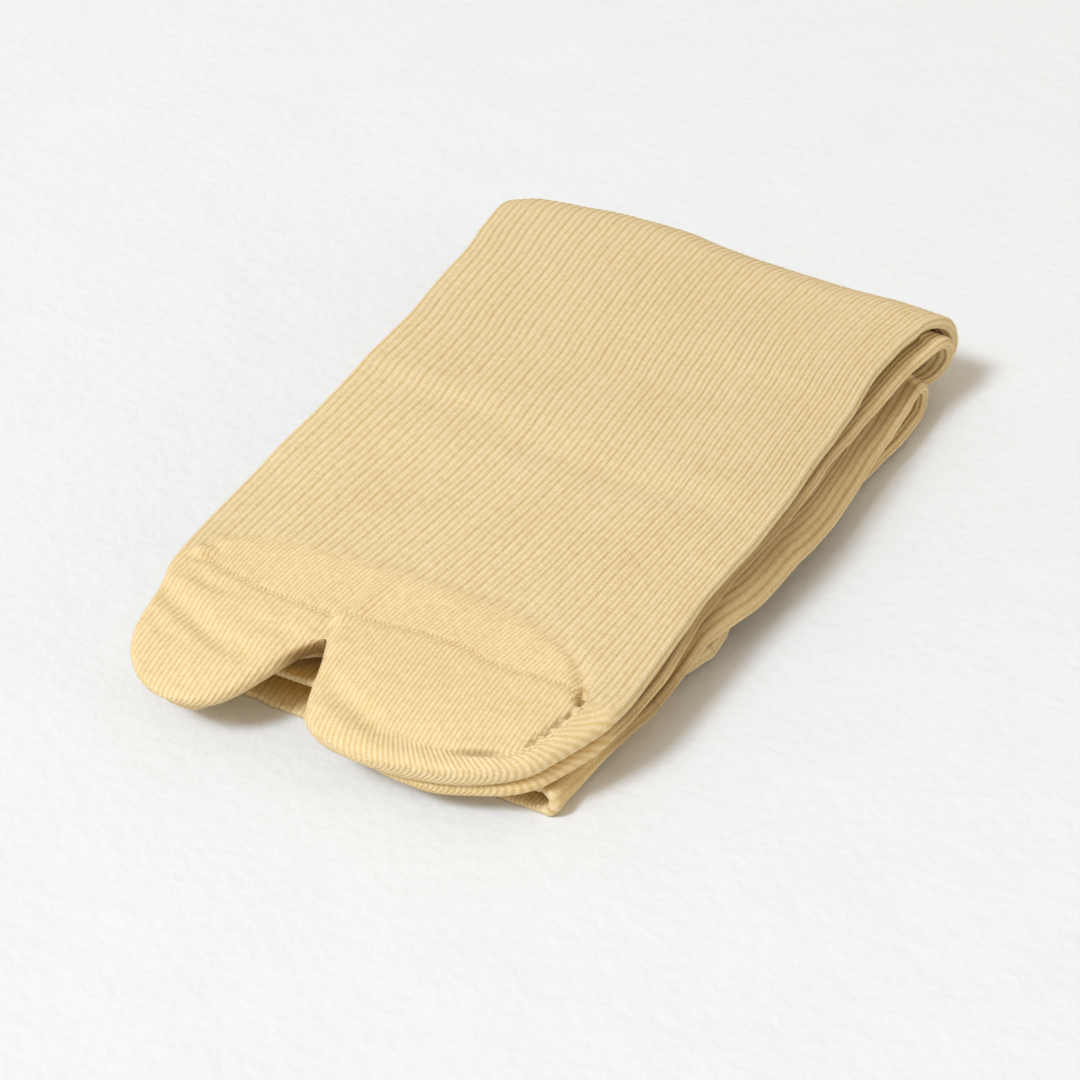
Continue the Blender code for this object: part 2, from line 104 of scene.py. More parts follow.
LOWER_BACK = [
    (18.0, 6.1, 2.2, -37.4, 31.6, 0.0, 0.0), (25.0, 6.1, 2.2, -37.0, 36.6, 2.6, 0.0),
    (32.0, 6.1, 2.2, -37.0, 41.4, 3.4, 0.0), (39.0, 6.1, 2.2, -37.0, 43.2, 3.7, 0.0),
    (46.0, 6.1, 2.2, -37.0, 44.0, 3.7, 0.0),
    (53.0, 6.1, 2.2, -37.0, 44.6, 3.7, 0.0), (60.0, 6.1, 2.2, -37.2, 44.8, 3.7, 0.0)]
LOWER_NEST = [(0.50, 0.0, 2.2, -37.4, 44.8, 4.7, 0.0)]
LOWER_LEG = [
    (60.0, 13.6, 2.2, -37.2, 44.3, 5.6, 0.0), (50.0, 13.6, 2.2, -37.0, 44.2, 6.4, 0.0),
    (40.0, 13.6, 2.2, -36.8, 44.0, 7.6, 0.0), (30.0, 13.6, 2.2, -36.6, 44.3, 8.2, 0.0),
    (20.0, 13.6, 2.2, -36.6, 44.4, 8.4, 0.0), (10.0, 13.6, 2.2, -36.8, 43.6, 8.5, 0.0),
    (1.0, 12.9, 2.2, -37.2, 42.6, 8.2, 0.0), (-8.0, 11.4, 2.2, -37.6, 41.3, 6.9, 0.0),
    (-15.0, 9.3, 2.2, -38.0, 39.8, 4.7, 0.0), (-25.0, 6.3, 2.3, -38.8, 38.8, 1.5, 0.0),
    (-32.0, 4.8, 2.6, -39.2, 38.3, 0.3, 0.0), (-38.0, 4.25, 3.0, -39.4, 37.0, 0.0, 0.0),
    (-45.0, 3.35, 3.8, -39.6, 35.6, 0.0, 0.0), (-51.0, 2.6, 4.5, -39.4, 34.6, 0.0, 0.0),
    (-57.0, 2.6, 5.1, -39.0, 33.9, 0.0, 0.0)]

# Y, z, thick, far, near; the last row is the tip
UPPER_BIG_TOE = [
    (-52.4, 11.95, 3.2, -40.15, -10.7), (-54.6, 11.6, 3.4, -39.8, -12.2), (-60.0, 10.7, 3.7, -39.0, -14.8),
    (-64.3, 9.9, 3.5, -37.2, -16.9), (-67.4, 9.3, 3.0, -34.4, -19.2),
    (-69.2, 9.0, 2.3, -31.2, -22.3), (-70.0, 8.8, 0.0, -27.0, -27.0)]
UPPER_FOUR_TOES = [
    (-54.6, 11.5, 4.1, -8.1, 33.5), (-58.4, 10.8, 4.3, -7.1, 31.2),
    (-61.8, 10.1, 4.3, -6.1, 27.0), (-64.8, 9.6, 4.0, -4.7, 20.8),
    (-66.7, 9.3, 3.3, -1.4, 13.4), (-67.5, 9.1, 0.0, 5.4, 5.4)]
LOWER_BIG_TOE = [
    (-54.2, 7.8, 3.0, -38.2, -17.0), (-58.4, 6.9, 2.9, -37.0, -19.4),
    (-61.8, 6.2, 2.7, -35.4, -20.8), (-64.8, 5.9, 2.4, -32.8, -21.8),
    (-66.9, 5.8, 2.0, -30.0, -23.4), (-67.8, 5.8, 0.0, -27.0, -27.0)]
LOWER_FOUR_TOES = [
    (-54.0, 7.8, 3.2, -8.0, 33.9), (-57.4, 7.1, 3.2, -6.0, 31.6),
    (-60.2, 6.5, 3.0, -3.2, 28.2), (-62.6, 6.1, 2.8, 1.4, 23.0),
    (-64.4, 5.8, 2.4, 6.6, 18.0), (-65.2, 5.7, 0.0, 12.0, 12.0)]

FOLD_BULGE = [(-46.0, -2.6), (-38.0, -0.8), (-30.0, 0.5), (-20.0, 1.9),
              (-10.0, 2.1), (0.0, 0.6), (10.0, -0.3), (25.0, -0.7),
              (36.0, -0.3), (46.0, 0.0)]
RELIEF = [
    (-20.0, 4.0, 22.0, 3.2, 4.0, -0.35), (18.0, 0.0, 20.0, 3.0, -3.0, -0.40),
    (-4.0, 40.0, 26.0, 14.0, 0.0, 0.35), (20.0, 30.0, 16.0, 5.0, 10.0, -0.30),
    (-24.0, 58.0, 14.0, 10.0, 0.0, 0.30), (12.0, -18.0, 22.0, 10.0, 8.0, 0.30)]

# The toe seam on the instep, and the rear edge of the plain band behind it.
SEAM = [(-42.0, -43.2), (-37.0, -43.9), (-31.6, -45.4), (-25.4, -46.2), (-19.5, -46.4),
        (-13.0, -46.4), (-10.0, -46.0), (-8.2, -45.2), (-3.0, -44.3), (2.2, -43.4), (8.8, -43.0),
        (12.3, -43.2), (15.0, -44.0), (18.6, -43.8), (23.0, -43.3), (26.6, -43.0), (31.2, -43.2),
        (38.0, -44.0)]
BAND = [(-39.6, -44.0), (-38.0, -41.6), (-36.2, -39.0), (-33.4, -37.0), (-28.0, -35.2),
        (-20.0, -34.2), (-6.0, -33.4), (6.0, -33.0), (15.0, -33.4), (22.0, -34.9), (26.0, -36.8),
        (28.8, -39.2), (30.4, -41.6), (31.4, -44.0)]
RIDGE = [(-9.6, -46.0), (-8.2, -44.2), (-7.5, -38.1), (-6.3, -32.9)]
CREASE_BIG = [(-38.6, -52.8), (-35.0, -54.6), (-29.0, -56.8), (-22.4, -58.8), (-18.6, -59.2)]
CREASE_FOUR = [(-5.0, -57.6), (-2.5, -58.9), (2.6, -60.6), (7.5, -62.4), (12.6, -62.6),
               (19.4, -61.2)]
SLIT = [(19.3, -61.5), (22.5, -60.5), (25.8, -59.3)]
DIMPLE = [(30.8, -41.9), (31.2, -43.4), (31.5, -45.0)]
# Where the wales of the toe meet those that come round from the sole.
MITRE = [(31.2, -42.6), (31.9, -45.4), (31.9, -48.0), (31.5, -51.0), (30.2, -54.4), (28.9, -56.6),
         (26.8, -58.8), (22.9, -60.3), (19.0, -61.5)]
EYELETS = [((31.5, -47.4), (31.2, -49.0)), ((30.5, -49.5), (30.9, -51.5)),
           ((29.8, -51.9), (30.2, -53.7)), ((28.9, -54.2), (29.2, -55.9))]
# The wales fan out from here: X, Y, and the way they leave, degrees from the toe-ward.
FAN = [(-4.0, -58.4, 0), (0.0, -59.8, 6), (4.0, -61.0, 16), (8.0, -61.9, 27), (12.6, -62.3, 38),
       (16.0, -62.1, 46), (19.0, -61.5, 53), (22.9, -60.3, 64), (26.0, -59.2, 78),
       (28.0, -57.6, 93), (29.4, -55.6, 108), (30.6, -53.2, 122), (31.5, -50.6, 137),
       (31.9, -48.0, 152), (31.9, -45.4, 164), (31.4, -42.6, 172), (30.6, -38.0, 177)]
# How far the ribs have moved over to the near side, by Y.
DRIFT = [(-44.5, 0.0), (-40.0, 0.7), (-34.0, 1.9), (-27.0, 3.3), (-20.0, 4.3), (-10.0, 5.0),
         (0.0, 5.3), (10.0, 5.3), (20.0, 5.1), (30.0, 4.8), (75.0, 4.2)]
KNOT = (-37.6, -43.2)


# ------------------------------------------------------------ small helpers
def smooth_table(xs, ys, x):
    """Monotone cubic through table rows."""
    xs, ys, x = (np.asarray(v, float) for v in (xs, ys, x))
    h = np.diff(xs)
    d = np.diff(ys) / h
    m = np.zeros(len(xs))
    for i in range(1, len(xs) - 1):
        if d[i - 1] * d[i] > 0:
            a, b = 2 * h[i] + h[i - 1], h[i] + 2 * h[i - 1]
            m[i] = (a + b) / (a / d[i - 1] + b / d[i])
    m[0], m[-1] = d[0], d[-1]
    x = np.clip(x, xs[0], xs[-1])
    k = np.clip(np.searchsorted(xs, x) - 1, 0, len(h) - 1)
    t = (x - xs[k]) / h[k]
    return ((1 + 2 * t) * (1 - t) ** 2 * ys[k] + t * (1 - t) ** 2 * h[k] * m[k]
            + t * t * (3 - 2 * t) * ys[k + 1] + t * t * (t - 1) * h[k] * m[k + 1])


def table(rows, x):
    return smooth_table(*zip(*rows), x)


def ease(t):
    t = np.clip(t, 0.0, 1.0)
    return t * t * (3 - 2 * t)


def lattice_noise(seed):
    """Smooth noise of two variables, mean 0, about +-1."""
    grid = np.random.RandomState(seed).uniform(-1, 1, (64, 64))

    def at(x, y):
        x, y = np.broadcast_arrays(np.asarray(x, float), np.asarray(y, float))
        i, j = np.floor(x).astype(int), np.floor(y).astype(int)
        u, v = ease(x - i), ease(y - j)
        a, b = grid[i % 64, j % 64], grid[(i + 1) % 64, j % 64]
        c, d = grid[i % 64, (j + 1) % 64], grid[(i + 1) % 64, (j + 1) % 64]
        return (a * (1 - u) + b * u) * (1 - v) + (c * (1 - u) + d * u) * v
    return at


def to_line(x, y, line):
    """Distance from points to a polyline, and how far along it they are (0 to 1)."""
    best, along = np.full(np.shape(x), 1e9), np.zeros(np.shape(x))
    p = np.array(line, float)
    seg = np.linalg.norm(np.diff(p, axis=0), axis=1)
    total, start = seg.sum(), np.concatenate([[0], np.cumsum(seg)])
    for k in range(len(seg)):
        d = p[k + 1] - p[k]
        t = np.clip(((x - p[k][0]) * d[0] + (y - p[k][1]) * d[1]) / seg[k] ** 2, 0, 1)
        r = np.hypot(x - p[k][0] - t * d[0], y - p[k][1] - t * d[1])
        nearer = r < best
        best = np.where(nearer, r, best)
        along = np.where(nearer, (start[k] + t * seg[k]) / total, along)
    return best, along


def side_of(x, y, line):
    """Signed distance to a polyline: positive on its left, going along it."""
    p = np.array(line, float)
    best, signed = np.full(np.shape(x), 1e9), np.zeros(np.shape(x))
    for k in range(len(p) - 1):
        d = p[k + 1] - p[k]
        size = math.hypot(*d)
        t = np.clip(((x - p[k][0]) * d[0] + (y - p[k][1]) * d[1]) / size ** 2, 0, 1)
        r = np.hypot(x - p[k][0] - t * d[0], y - p[k][1] - t * d[1])
        s = (d[0] * (y - p[k][1]) - d[1] * (x - p[k][0])) / size
        signed = np.where(r < best, np.where(s >= 0, r, -r), signed)
        best = np.minimum(best, r)
    return signed


def settle(x, y, z, sag_near, sag_far, late=0.0):
    """From the straight stack to where the soft stack lies, in the row frame."""
    start = EDGE_START + 1.6 * late
    z = z - sag_near * ease((x - start) / (EDGE_END + 0.2 * late - start))
    z = z - sag_far * ease((-x - FAR_START) / (FAR_END - FAR_START))
    y = y + table(FOLD_BULGE, x) * ease((y - 45.0) / 20.0)
    relief = 0.0
    for cx, cy, wx, wy, turn, height in RELIEF:
        a = math.radians(turn)
        u = ((x - cx) * math.cos(a) + (y - cy) * math.sin(a)) / wx
        v = (-(x - cx) * math.sin(a) + (y - cy) * math.cos(a)) / wy
        relief = relief + height * np.exp(-(u * u + v * v) / 2)
    z = z + relief * np.maximum(0.0, z - 2.4) / 17.0
    z = np.maximum(z, 0.02)
    return np.stack([(x - CENTRE_X) * MM, (y - CENTRE_Y) * MM, z * MM], -1)


# ------------------------------------------------------- the path of a sock
def stations(start, end, spacing):
    """Y places from start to end; spacing is a list of (up to Y, step)."""
    out, y, sign = [start], start, 1 if end > start else -1
    while True:
        step = [s for limit, s in spacing if (y - limit) * sign < -1e-9]
        step = step[0] if step else spacing[-1][1]
        y += sign * step
        if (end - y) * sign < 0.45 * step:
            break
        out.append(y)
    return np.array(out + [end])


class Path:
    """Section rows along a sock, all as arrays."""

    def __init__(self, stretches, last_y=None):
        keys = ("y", "z", "ny", "nz", "half", "far", "near", "sn", "sf")
        self.rows = {k: [] for k in keys}
        self.arm = []
        head, before = 1.0, None
        for index, (kind, spec, rows) in enumerate(stretches):
            if kind == "arm":
                start, end = rows[0][0], rows[-1][0]
                if index == 0:
                    start = SEAM_Y
                if index == len(stretches) - 1 and last_y is not None:
                    end = last_y
                head = 1.0 if end > start else -1.0
                ys = stations(start, end, spec)
                vals = self.arm_values(rows, ys, head)
                for k, v in vals.items():
                    self.rows[k] += list(v)
                self.arm += [index] * len(ys)
                before = rows[-1]
            else:
                cy, z_from, z_to, reach, side, steps = spec
                after = stretches[index + 1][2][0]
                mid, half = (z_from + z_to) / 2, (z_from - z_to) / 2
                at = [0.0] + [r[0] for r in rows] + [1.0]
                cols = [[before[k]] + [r[k] for r in rows] + [after[k]] for k in range(2, 7)]
                keep = head * (1.0 if half > 0 else -1.0)
                f = np.arange(1, steps) / steps
                a = PI * f
                ny = keep * side * abs(half) * np.sin(a)
                nz = keep * reach * np.cos(a) * (1 if half > 0 else -1)
                size = np.hypot(ny, nz)
                vals = [smooth_table(at, c, f) for c in cols]
                new = dict(y=cy + side * reach * np.sin(a), z=mid + half * np.cos(a),
                           ny=ny / size, nz=nz / size, half=vals[0] / 2, far=vals[1],
                           near=vals[2], sn=vals[3], sf=vals[4])
                for k, v in new.items():
                    self.rows[k] += list(v)
                self.arm += [index] * (steps - 1)
        for k in keys:
            self.rows[k] = np.array(self.rows[k])
        self.arm = np.array(self.arm)
        r = self.rows
        self.s = np.concatenate([[0], np.cumsum(np.hypot(np.diff(r["y"]), np.diff(r["z"])))])

    @staticmethod
    def arm_values(rows, ys, head):
        flip = rows[0][0] > rows[-1][0]
        rows = rows[::-1] if flip else rows
        at = [r[0] for r in rows]
        col = [[r[k] for r in rows] for k in range(7)]
        z = smooth_table(at, col[1], ys)
        lo, hi = np.clip(ys - 0.5, at[0], at[-1]), np.clip(ys + 0.5, at[0], at[-1])
        slope = (smooth_table(at, col[1], hi) - smooth_table(at, col[1], lo)) / (hi - lo)
        size = np.hypot(slope, 1.0)
        return dict(y=ys, z=z, ny=-slope / size * head, nz=head / size,
                    half=smooth_table(at, col[2], ys) / 2, far=smooth_table(at, col[3], ys),
                    near=smooth_table(at, col[4], ys), sn=smooth_table(at, col[5], ys),
                    sf=smooth_table(at, col[6], ys))


# ----------------------------------------------------- the wales round a tube
N_FLAT, N_ARC = 71, 3                 # ribs across one face and round one edge
N_ALL = 2 * (N_FLAT + N_ARC)
DENSE = (0.0, 0.17, 0.38, 0.62, 0.83)
NEAR_ARC, TOP, FAR_ARC, BOTTOM = 0, 1, 2, 3


def wale_place(n):
    """Place across the face, 0 to 1 from the near edge, of rib coordinate n.

    Ribs are closer together on the near half than on the far half."""
    u = np.linspace(0, N_FLAT, 2001)
    pitch = 1.10 + (1.13 - 1.10) * ease((u - 30.0) / 12.0)
    x = np.concatenate([[0], np.cumsum((pitch[1:] + pitch[:-1]) / 2)])
    return np.interp(n, u, x / x[-1])


class Columns:
    """The columns of vertices round a tube, for a choice of density."""

    def __init__(self, dense_top, dense_bottom, seed):
        seg, t, u, fine = [], [], [], []
        base = 0
        for part, n in ((NEAR_ARC, N_ARC), (TOP, N_FLAT), (FAR_ARC, N_ARC), (BOTTOM, N_FLAT)):
            for k in range(n):
                if part in (NEAR_ARC, FAR_ARC):
                    dense = True
                else:
                    from_near = k if part == TOP else n - 1 - k
                    dense = (dense_top if part == TOP else dense_bottom)(from_near)
                for p in (DENSE if dense else (0.5,)):
                    seg.append(part)
                    t.append((k + p) / n)
                    u.append(base + k + p)
                    fine.append(dense)
            base += n
        self.seg, self.t = np.array(seg), np.array(t)
        self.u, self.fine = np.array(u), np.array(fine)
        self.n = len(seg)
        # depth of the groove on each side of a rib: every second one is shallower
        rnd = np.random.RandomState(seed)
        depth = np.where(np.arange(N_ALL + 1) % 2 == 0, 1.0, 0.66)
        depth = depth * rnd.uniform(0.86, 1.14, N_ALL + 1)
        depth[-1] = depth[0]
        crest = rnd.uniform(0.92, 1.08, N_ALL)
        k = np.floor(self.u).astype(int) % N_ALL
        p = self.u - np.floor(self.u)
        groove = 0.62
        h = (crest[k] - 0.42 * np.abs(2 * p - 1) ** 2.0
             - groove * depth[k] * np.exp(-(p / 0.20) ** 2)
             - groove * depth[k + 1] * np.exp(-((1 - p) / 0.20) ** 2))
        self.rib = np.where(self.fine, h - 0.65, 0.1)
        # ribs pair up a little
        shifted = self.u + 0.045 * np.cos(PI * self.u) * (self.fine)
        top, bottom = self.seg == TOP, self.seg == BOTTOM
        inside = (self.t > 0.02) & (self.t < 0.98)
        n_top = shifted - N_ARC
        n_bottom = N_FLAT - (shifted - (2 * N_ARC + N_FLAT))
        self.q = np.zeros(self.n)               # place across, from the near edge
        self.q[top] = wale_place(np.where(inside, n_top, self.u - N_ARC))[top]
        self.q[bottom] = wale_place(np.where(inside, n_bottom, N_FLAT - (self.u - 2 * N_ARC - N_FLAT)))[bottom]
        # angle round an edge: from -90 (bottom) to 90 (top)
        self.a = np.zeros(self.n)
        self.a[self.seg == NEAR_ARC] = -PI / 2 + PI * self.t[self.seg == NEAR_ARC]
        self.a[self.seg == FAR_ARC] = PI / 2 - PI * self.t[self.seg == FAR_ARC]


def ring_points(cols, half, far, near, inset=0.0):
    """X, W and the outward direction (NX, NW) for rows of sections."""
    half = half - inset
    lo, hi = far + inset * 1.6 + half, near - inset * 1.6 - half
    shape = np.broadcast(half, np.zeros((1, cols.n))).shape
    x, w, nx, nw = (np.zeros(shape) for _ in range(4))
    half, lo, hi = (np.broadcast_to(v, shape) for v in (half, lo, hi))
    for part in range(4):
        m = cols.seg == part
        if part in (TOP, BOTTOM):
            x[:, m] = hi[:, m] + (lo[:, m] - hi[:, m]) * cols.q[m]
            s = 1.0 if part == TOP else -1.0
            w[:, m] = s * half[:, m]
            nw[:, m] = s
        else:
            c, s = np.cos(cols.a[m]), np.sin(cols.a[m])
            side = 1.0 if part == NEAR_ARC else -1.0
            centre = hi if part == NEAR_ARC else lo
            x[:, m] = centre[:, m] + side * half[:, m] * c
            w[:, m] = half[:, m] * s
            nx[:, m] = side * c
            nw[:, m] = s
    return x, w, nx, nw


# ------------------------------------------------------------ relief
def band_mask(x, y):
    """1 on the plain band behind the toe seam, 0 on the ribs."""
    inside = ease((table(BAND, x) - y + 1.0) / 2.4)
    return inside * ease((x + 39.8) / 1.6) * ease((31.8 - x) / 1.6)


def beyond_mitre(x, y):
    """Distance outside the mitre of the little toe; negative inside the pocket."""
    return side_of(x, y, MITRE)


def cap_mask(x, y):
    """1 on the plain toe pockets, 0 behind the seam."""
    m = ease((table(SEAM, x) - y) / 0.3 + 0.5)
    outer = ease((-43.5 - y) / 3.0)
    past = ease(beyond_mitre(x, y) / 0.7 + 0.5) * (x > 15.0)
    return m * (1 - past) + past * outer


def trough(x, y, line, depth, width, profile=None):
    r, along = to_line(x, y, line)
    k = 1.0 if profile is None else profile(along)
    return -depth * k * np.exp(-(r / width) ** 2)


def hump(t):
    return np.sin(PI * np.clip(t, 0, 1))


def instep_relief(x, y):
    """Creases, seam, mitre and puckers of the upper sock's instep, in mm."""
    out = np.zeros(np.shape(x))
    seam = table(SEAM, x)
    on_seam = ease((31.0 - x) / 2.0) * ease((x + 38.5) / 1.5)
    d = y - seam
    out -= 0.20 * np.exp(-(d / 0.40) ** 2) * on_seam
    out += 0.20 * ease(-d / 1.4) * ease((d + 9.0) / 8.0) * on_seam
    # the plain band puffs up behind the seam and drops at its rear edge
    inside = -side_of(x, y, BAND)
    puff = ease((inside + 1.4) / 3.6) * (0.25 + 0.75 * ease((d - 0.5) / 7.0)) * ease((d + 0.5) / 1.0)
    out += 0.34 * puff
    out += trough(x, y, [(p[0] + 0.3, p[1] + 1.6) for p in BAND[5:-2]], 0.16, 1.9, hump)
    out += trough(x, y, BAND[8:], 0.85, 1.10, lambda t: t ** 1.1)
    out += trough(x, y, BAND[1:5], 0.20, 0.9, hump)
    # soft ridge up from the crotch, and a hollow beside it
    out -= trough(x, y, RIDGE, 0.92, 1.15, lambda t: 1 - 0.75 * ease(t))
    out += trough(x, y, [(-11.6, -45.6), (-10.6, -41.0), (-9.6, -36.0)], 0.34, 1.3,
                  lambda t: 1 - ease(t))
    # the two pockets press together ahead of the seam
    xv = smooth_table([-51.5, -48.6, -46.2], [-9.6, -9.9, -10.3], y)
    deep = ease((-45.9 - y) / 4.6) * (1 - ease((-51.0 - y) / 3.6))
    out -= 0.58 * deep * np.exp(-((x - xv) / np.where(x < xv, 2.4, 1.15)) ** 2)
    out += 0.22 * deep * np.exp(-((x - xv - 2.6) / 1.3) ** 2)
    # big toe
    out += trough(x, y, CREASE_BIG, 0.85, 1.5, lambda t: 0.45 + 0.55 * hump(0.15 + 0.8 * t))
    out -= trough(x, y, [(-36.0, -51.2), (-30.0, -53.0), (-22.0, -54.6), (-17.0, -55.2)], 0.34, 1.8)
    out += trough(x, y, [(-38.0, -58.0), (-33.0, -60.0), (-27.0, -61.6)], 0.34, 1.2, hump)
    out += trough(x, y, [(-38.0, -48.2), (-32.0, -49.2), (-26.0, -49.0)], 0.42, 1.2, hump)
    out += trough(x, y, [(-16.6, -50.2), (-14.4, -53.6), (-14.2, -57.0)], 0.30, 1.4, hump)
    # four toes: a crease, then the front turns down as a roll
    out += trough(x, y, CREASE_FOUR, 0.85, 1.6, lambda t: 0.35 + 0.65 * hump(np.clip(t * 1.6, 0, 1)) ** 1.5)
    out -= trough(x, y, [(-3.4, -62.4), (3.0, -64.8), (12.0, -65.4), (20.0, -63.8), (25.6, -61.2)],
                  0.36, 1.7)
    out += trough(x, y, SLIT, 1.00, 0.42, lambda t: hump(0.10 + 0.78 * t) ** 0.6)
    out -= trough(x, y, [(18.0, -60.2), (22.6, -59.2), (26.2, -57.8)], 0.22, 0.7)
    out -= trough(x, y, [(17.6, -62.0), (22.4, -61.2), (26.4, -60.0)], 0.26, 0.7)
    # the mitre
    out += trough(x, y, MITRE[:7], 0.40, 0.50)
    out -= trough(x, y, [(p[0] + 1.0, p[1] - 0.3) for p in MITRE[1:7]], 0.30, 0.8)
    for line in EYELETS:
        out += trough(x, y, line, 0.75, 0.38, lambda t: 0.4 + 0.6 * hump(t))
    out += trough(x, y, DIMPLE, 1.35, 0.62, lambda t: 0.35 + 0.65 * hump(0.25 + 0.6 * t))
    out -= trough(x, y, [(p[0] + 1.1, p[1]) for p in DIMPLE], 0.30, 0.5)
    out -= 0.30 * np.exp(-(((x - 29.6) / 2.0) ** 2 + ((y + 40.6) / 3.0) ** 2))
    # the knot at the big toe's end of the seam
    kx, ky = KNOT
    out += 0.80 * np.exp(-(((x - kx) / 1.3) ** 2 + ((y - ky) / 1.0) ** 2))
    out -= 0.45 * np.exp(-(((x - kx - 0.4) / 2.0) ** 2 + ((y - ky + 1.7) / 0.7) ** 2))
    out -= 0.30 * np.exp(-(((x - kx - 2.6) / 0.9) ** 2 + ((y - ky - 0.6) / 1.8) ** 2))
    out += 0.25 * np.exp(-(((x - kx - 1.5) / 2.6) ** 2 + ((y - ky - 3.4) / 1.0) ** 2))
    # soft transverse creases across the foot
    out += trough(x, y, [(-38.0, 6.4), (-24.0, 5.4), (-10.0, 4.6)], 0.20, 1.6)
    out -= trough(x, y, [(-38.0, 9.6), (-22.0, 8.6), (-10.0, 7.8)], 0.12, 1.8)
    out += trough(x, y, [(-3.0, 0.8), (14.0, 0.6), (30.0, 1.6)], 0.20, 1.6)
    out += trough(x, y, [(-2.0, 34.6), (16.0, 35.6), (32.0, 34.0)], 0.12, 2.2)
    return out


# ------------------------------------------------------------------- meshes
def vertex_normals(points, faces):
    n = np.zeros_like(points)
    a, b, c, d = (points[faces[:, k]] for k in range(4))
    f = np.cross(c - a, d - b)
    for k in range(4):
        np.add.at(n, faces[:, k], f)
    size = np.linalg.norm(n, axis=1, keepdims=True)
    return n / np.maximum(size, 1e-12)


def grid(n_rows, n_cols, start=0, flip=False, wrap=True):
    i = np.arange(n_rows - 1)[:, None] * n_cols
    j = np.arange(n_cols if wrap else n_cols - 1)[None, :]
    k = (j + 1) % n_cols
    quad = np.stack([i + j, i + n_cols + j, i + n_cols + k, i + k], -1).reshape(-1, 4) + start
    return quad[:, ::-1] if flip else quad


def make_object(name, points, faces, knit, plain, masks, normals, material):
    """points (N,3); faces (F,4), a triangle repeats its last corner; knit and
    plain are (F,4,2); masks {name: (N,)}."""
    used, inverse = np.unique(faces, return_inverse=True)
    faces = inverse.reshape(faces.shape)
    points = points[used]
    tri = faces[:, 3] == faces[:, 2]
    counts = np.where(tri, 3, 4)
    keep = np.ones(faces.shape, bool)
    keep[:, 3] = ~tri
    loops = faces[keep]
    mesh = bpy.data.meshes.new(name)
    mesh.vertices.add(len(points))
    mesh.vertices.foreach_set("co", points.astype(np.float32).ravel())
    mesh.loops.add(len(loops))
    mesh.loops.foreach_set("vertex_index", loops.astype(np.int32))
    mesh.polygons.add(len(faces))
    starts = np.concatenate([[0], np.cumsum(counts)[:-1]])
    mesh.polygons.foreach_set("loop_start", starts.astype(np.int32))
    for layer, data in (("knit", knit), ("plain", plain)):
        uv = mesh.uv_layers.new(name=layer)
        uv.data.foreach_set("uv", data[keep].astype(np.float32).ravel())
    for key, data in masks.items():
        attr = mesh.attributes.new(key, "FLOAT", "POINT")
        attr.data.foreach_set("value", data[used].astype(np.float32))
    mesh.update(calc_edges=True)
    mesh.validate()
    mesh.shade_smooth()
    if normals is not None:
        mesh.normals_split_custom_set_from_vertices(normals[used].astype(float).tolist())
    obj = bpy.data.objects.new(name, mesh)
    bpy.context.scene.collection.objects.link(obj)
    mesh.materials.append(material)
    return obj


def loop_uv(u_cols, v_rows, n_rows, wrap_u, flip=False):
    """(F,4,2) for a grid: columns carry u, rows carry v; the last column wraps to wrap_u."""
    n_cols = len(u_cols)
    nxt = np.concatenate([u_cols[1:], [wrap_u]])
    v = np.broadcast_to(np.asarray(v_rows).reshape(n_rows, -1), (n_rows, n_cols))
    v_next = np.concatenate([v[:, 1:], v[:, :1]], axis=1)
    u0 = np.broadcast_to(u_cols, (n_rows - 1, n_cols))
    u1 = np.broadcast_to(nxt, (n_rows - 1, n_cols))
    uv = np.stack([np.stack([u0, v[:-1]], -1), np.stack([u0, v[1:]], -1),
                   np.stack([u1, v_next[1:]], -1), np.stack([u1, v_next[:-1]], -1)], -2)
    uv = uv.reshape(-1, 4, 2)
    return uv[:, ::-1] if flip else uv


def rim_between(outer, inner_of):
    """Faces between an outer ring and a coarser inner ring.

    outer: indices of the outer ring.  inner_of: {place in outer: inner index}."""
    places = sorted(inner_of)
    n = len(outer)
    faces = []
    for a, b in zip(places, places[1:] + [places[0] + n]):
        i0, i1 = inner_of[a], inner_of[b % n]
        for k in range(a, b):
            faces.append((outer[k % n], outer[(k + 1) % n], i0, i0))
        faces.append((outer[b % n], i1, i0, i0))
    return np.array(faces)


COURSE = 0.62                          # mm from one course of stitches to the next
CAP_COURSE = 0.60
CAP_WALE = dict(big=0.90, four=0.80)   # mm between wales of the toe pockets
RIB = 0.19                             # height of a rib, mm


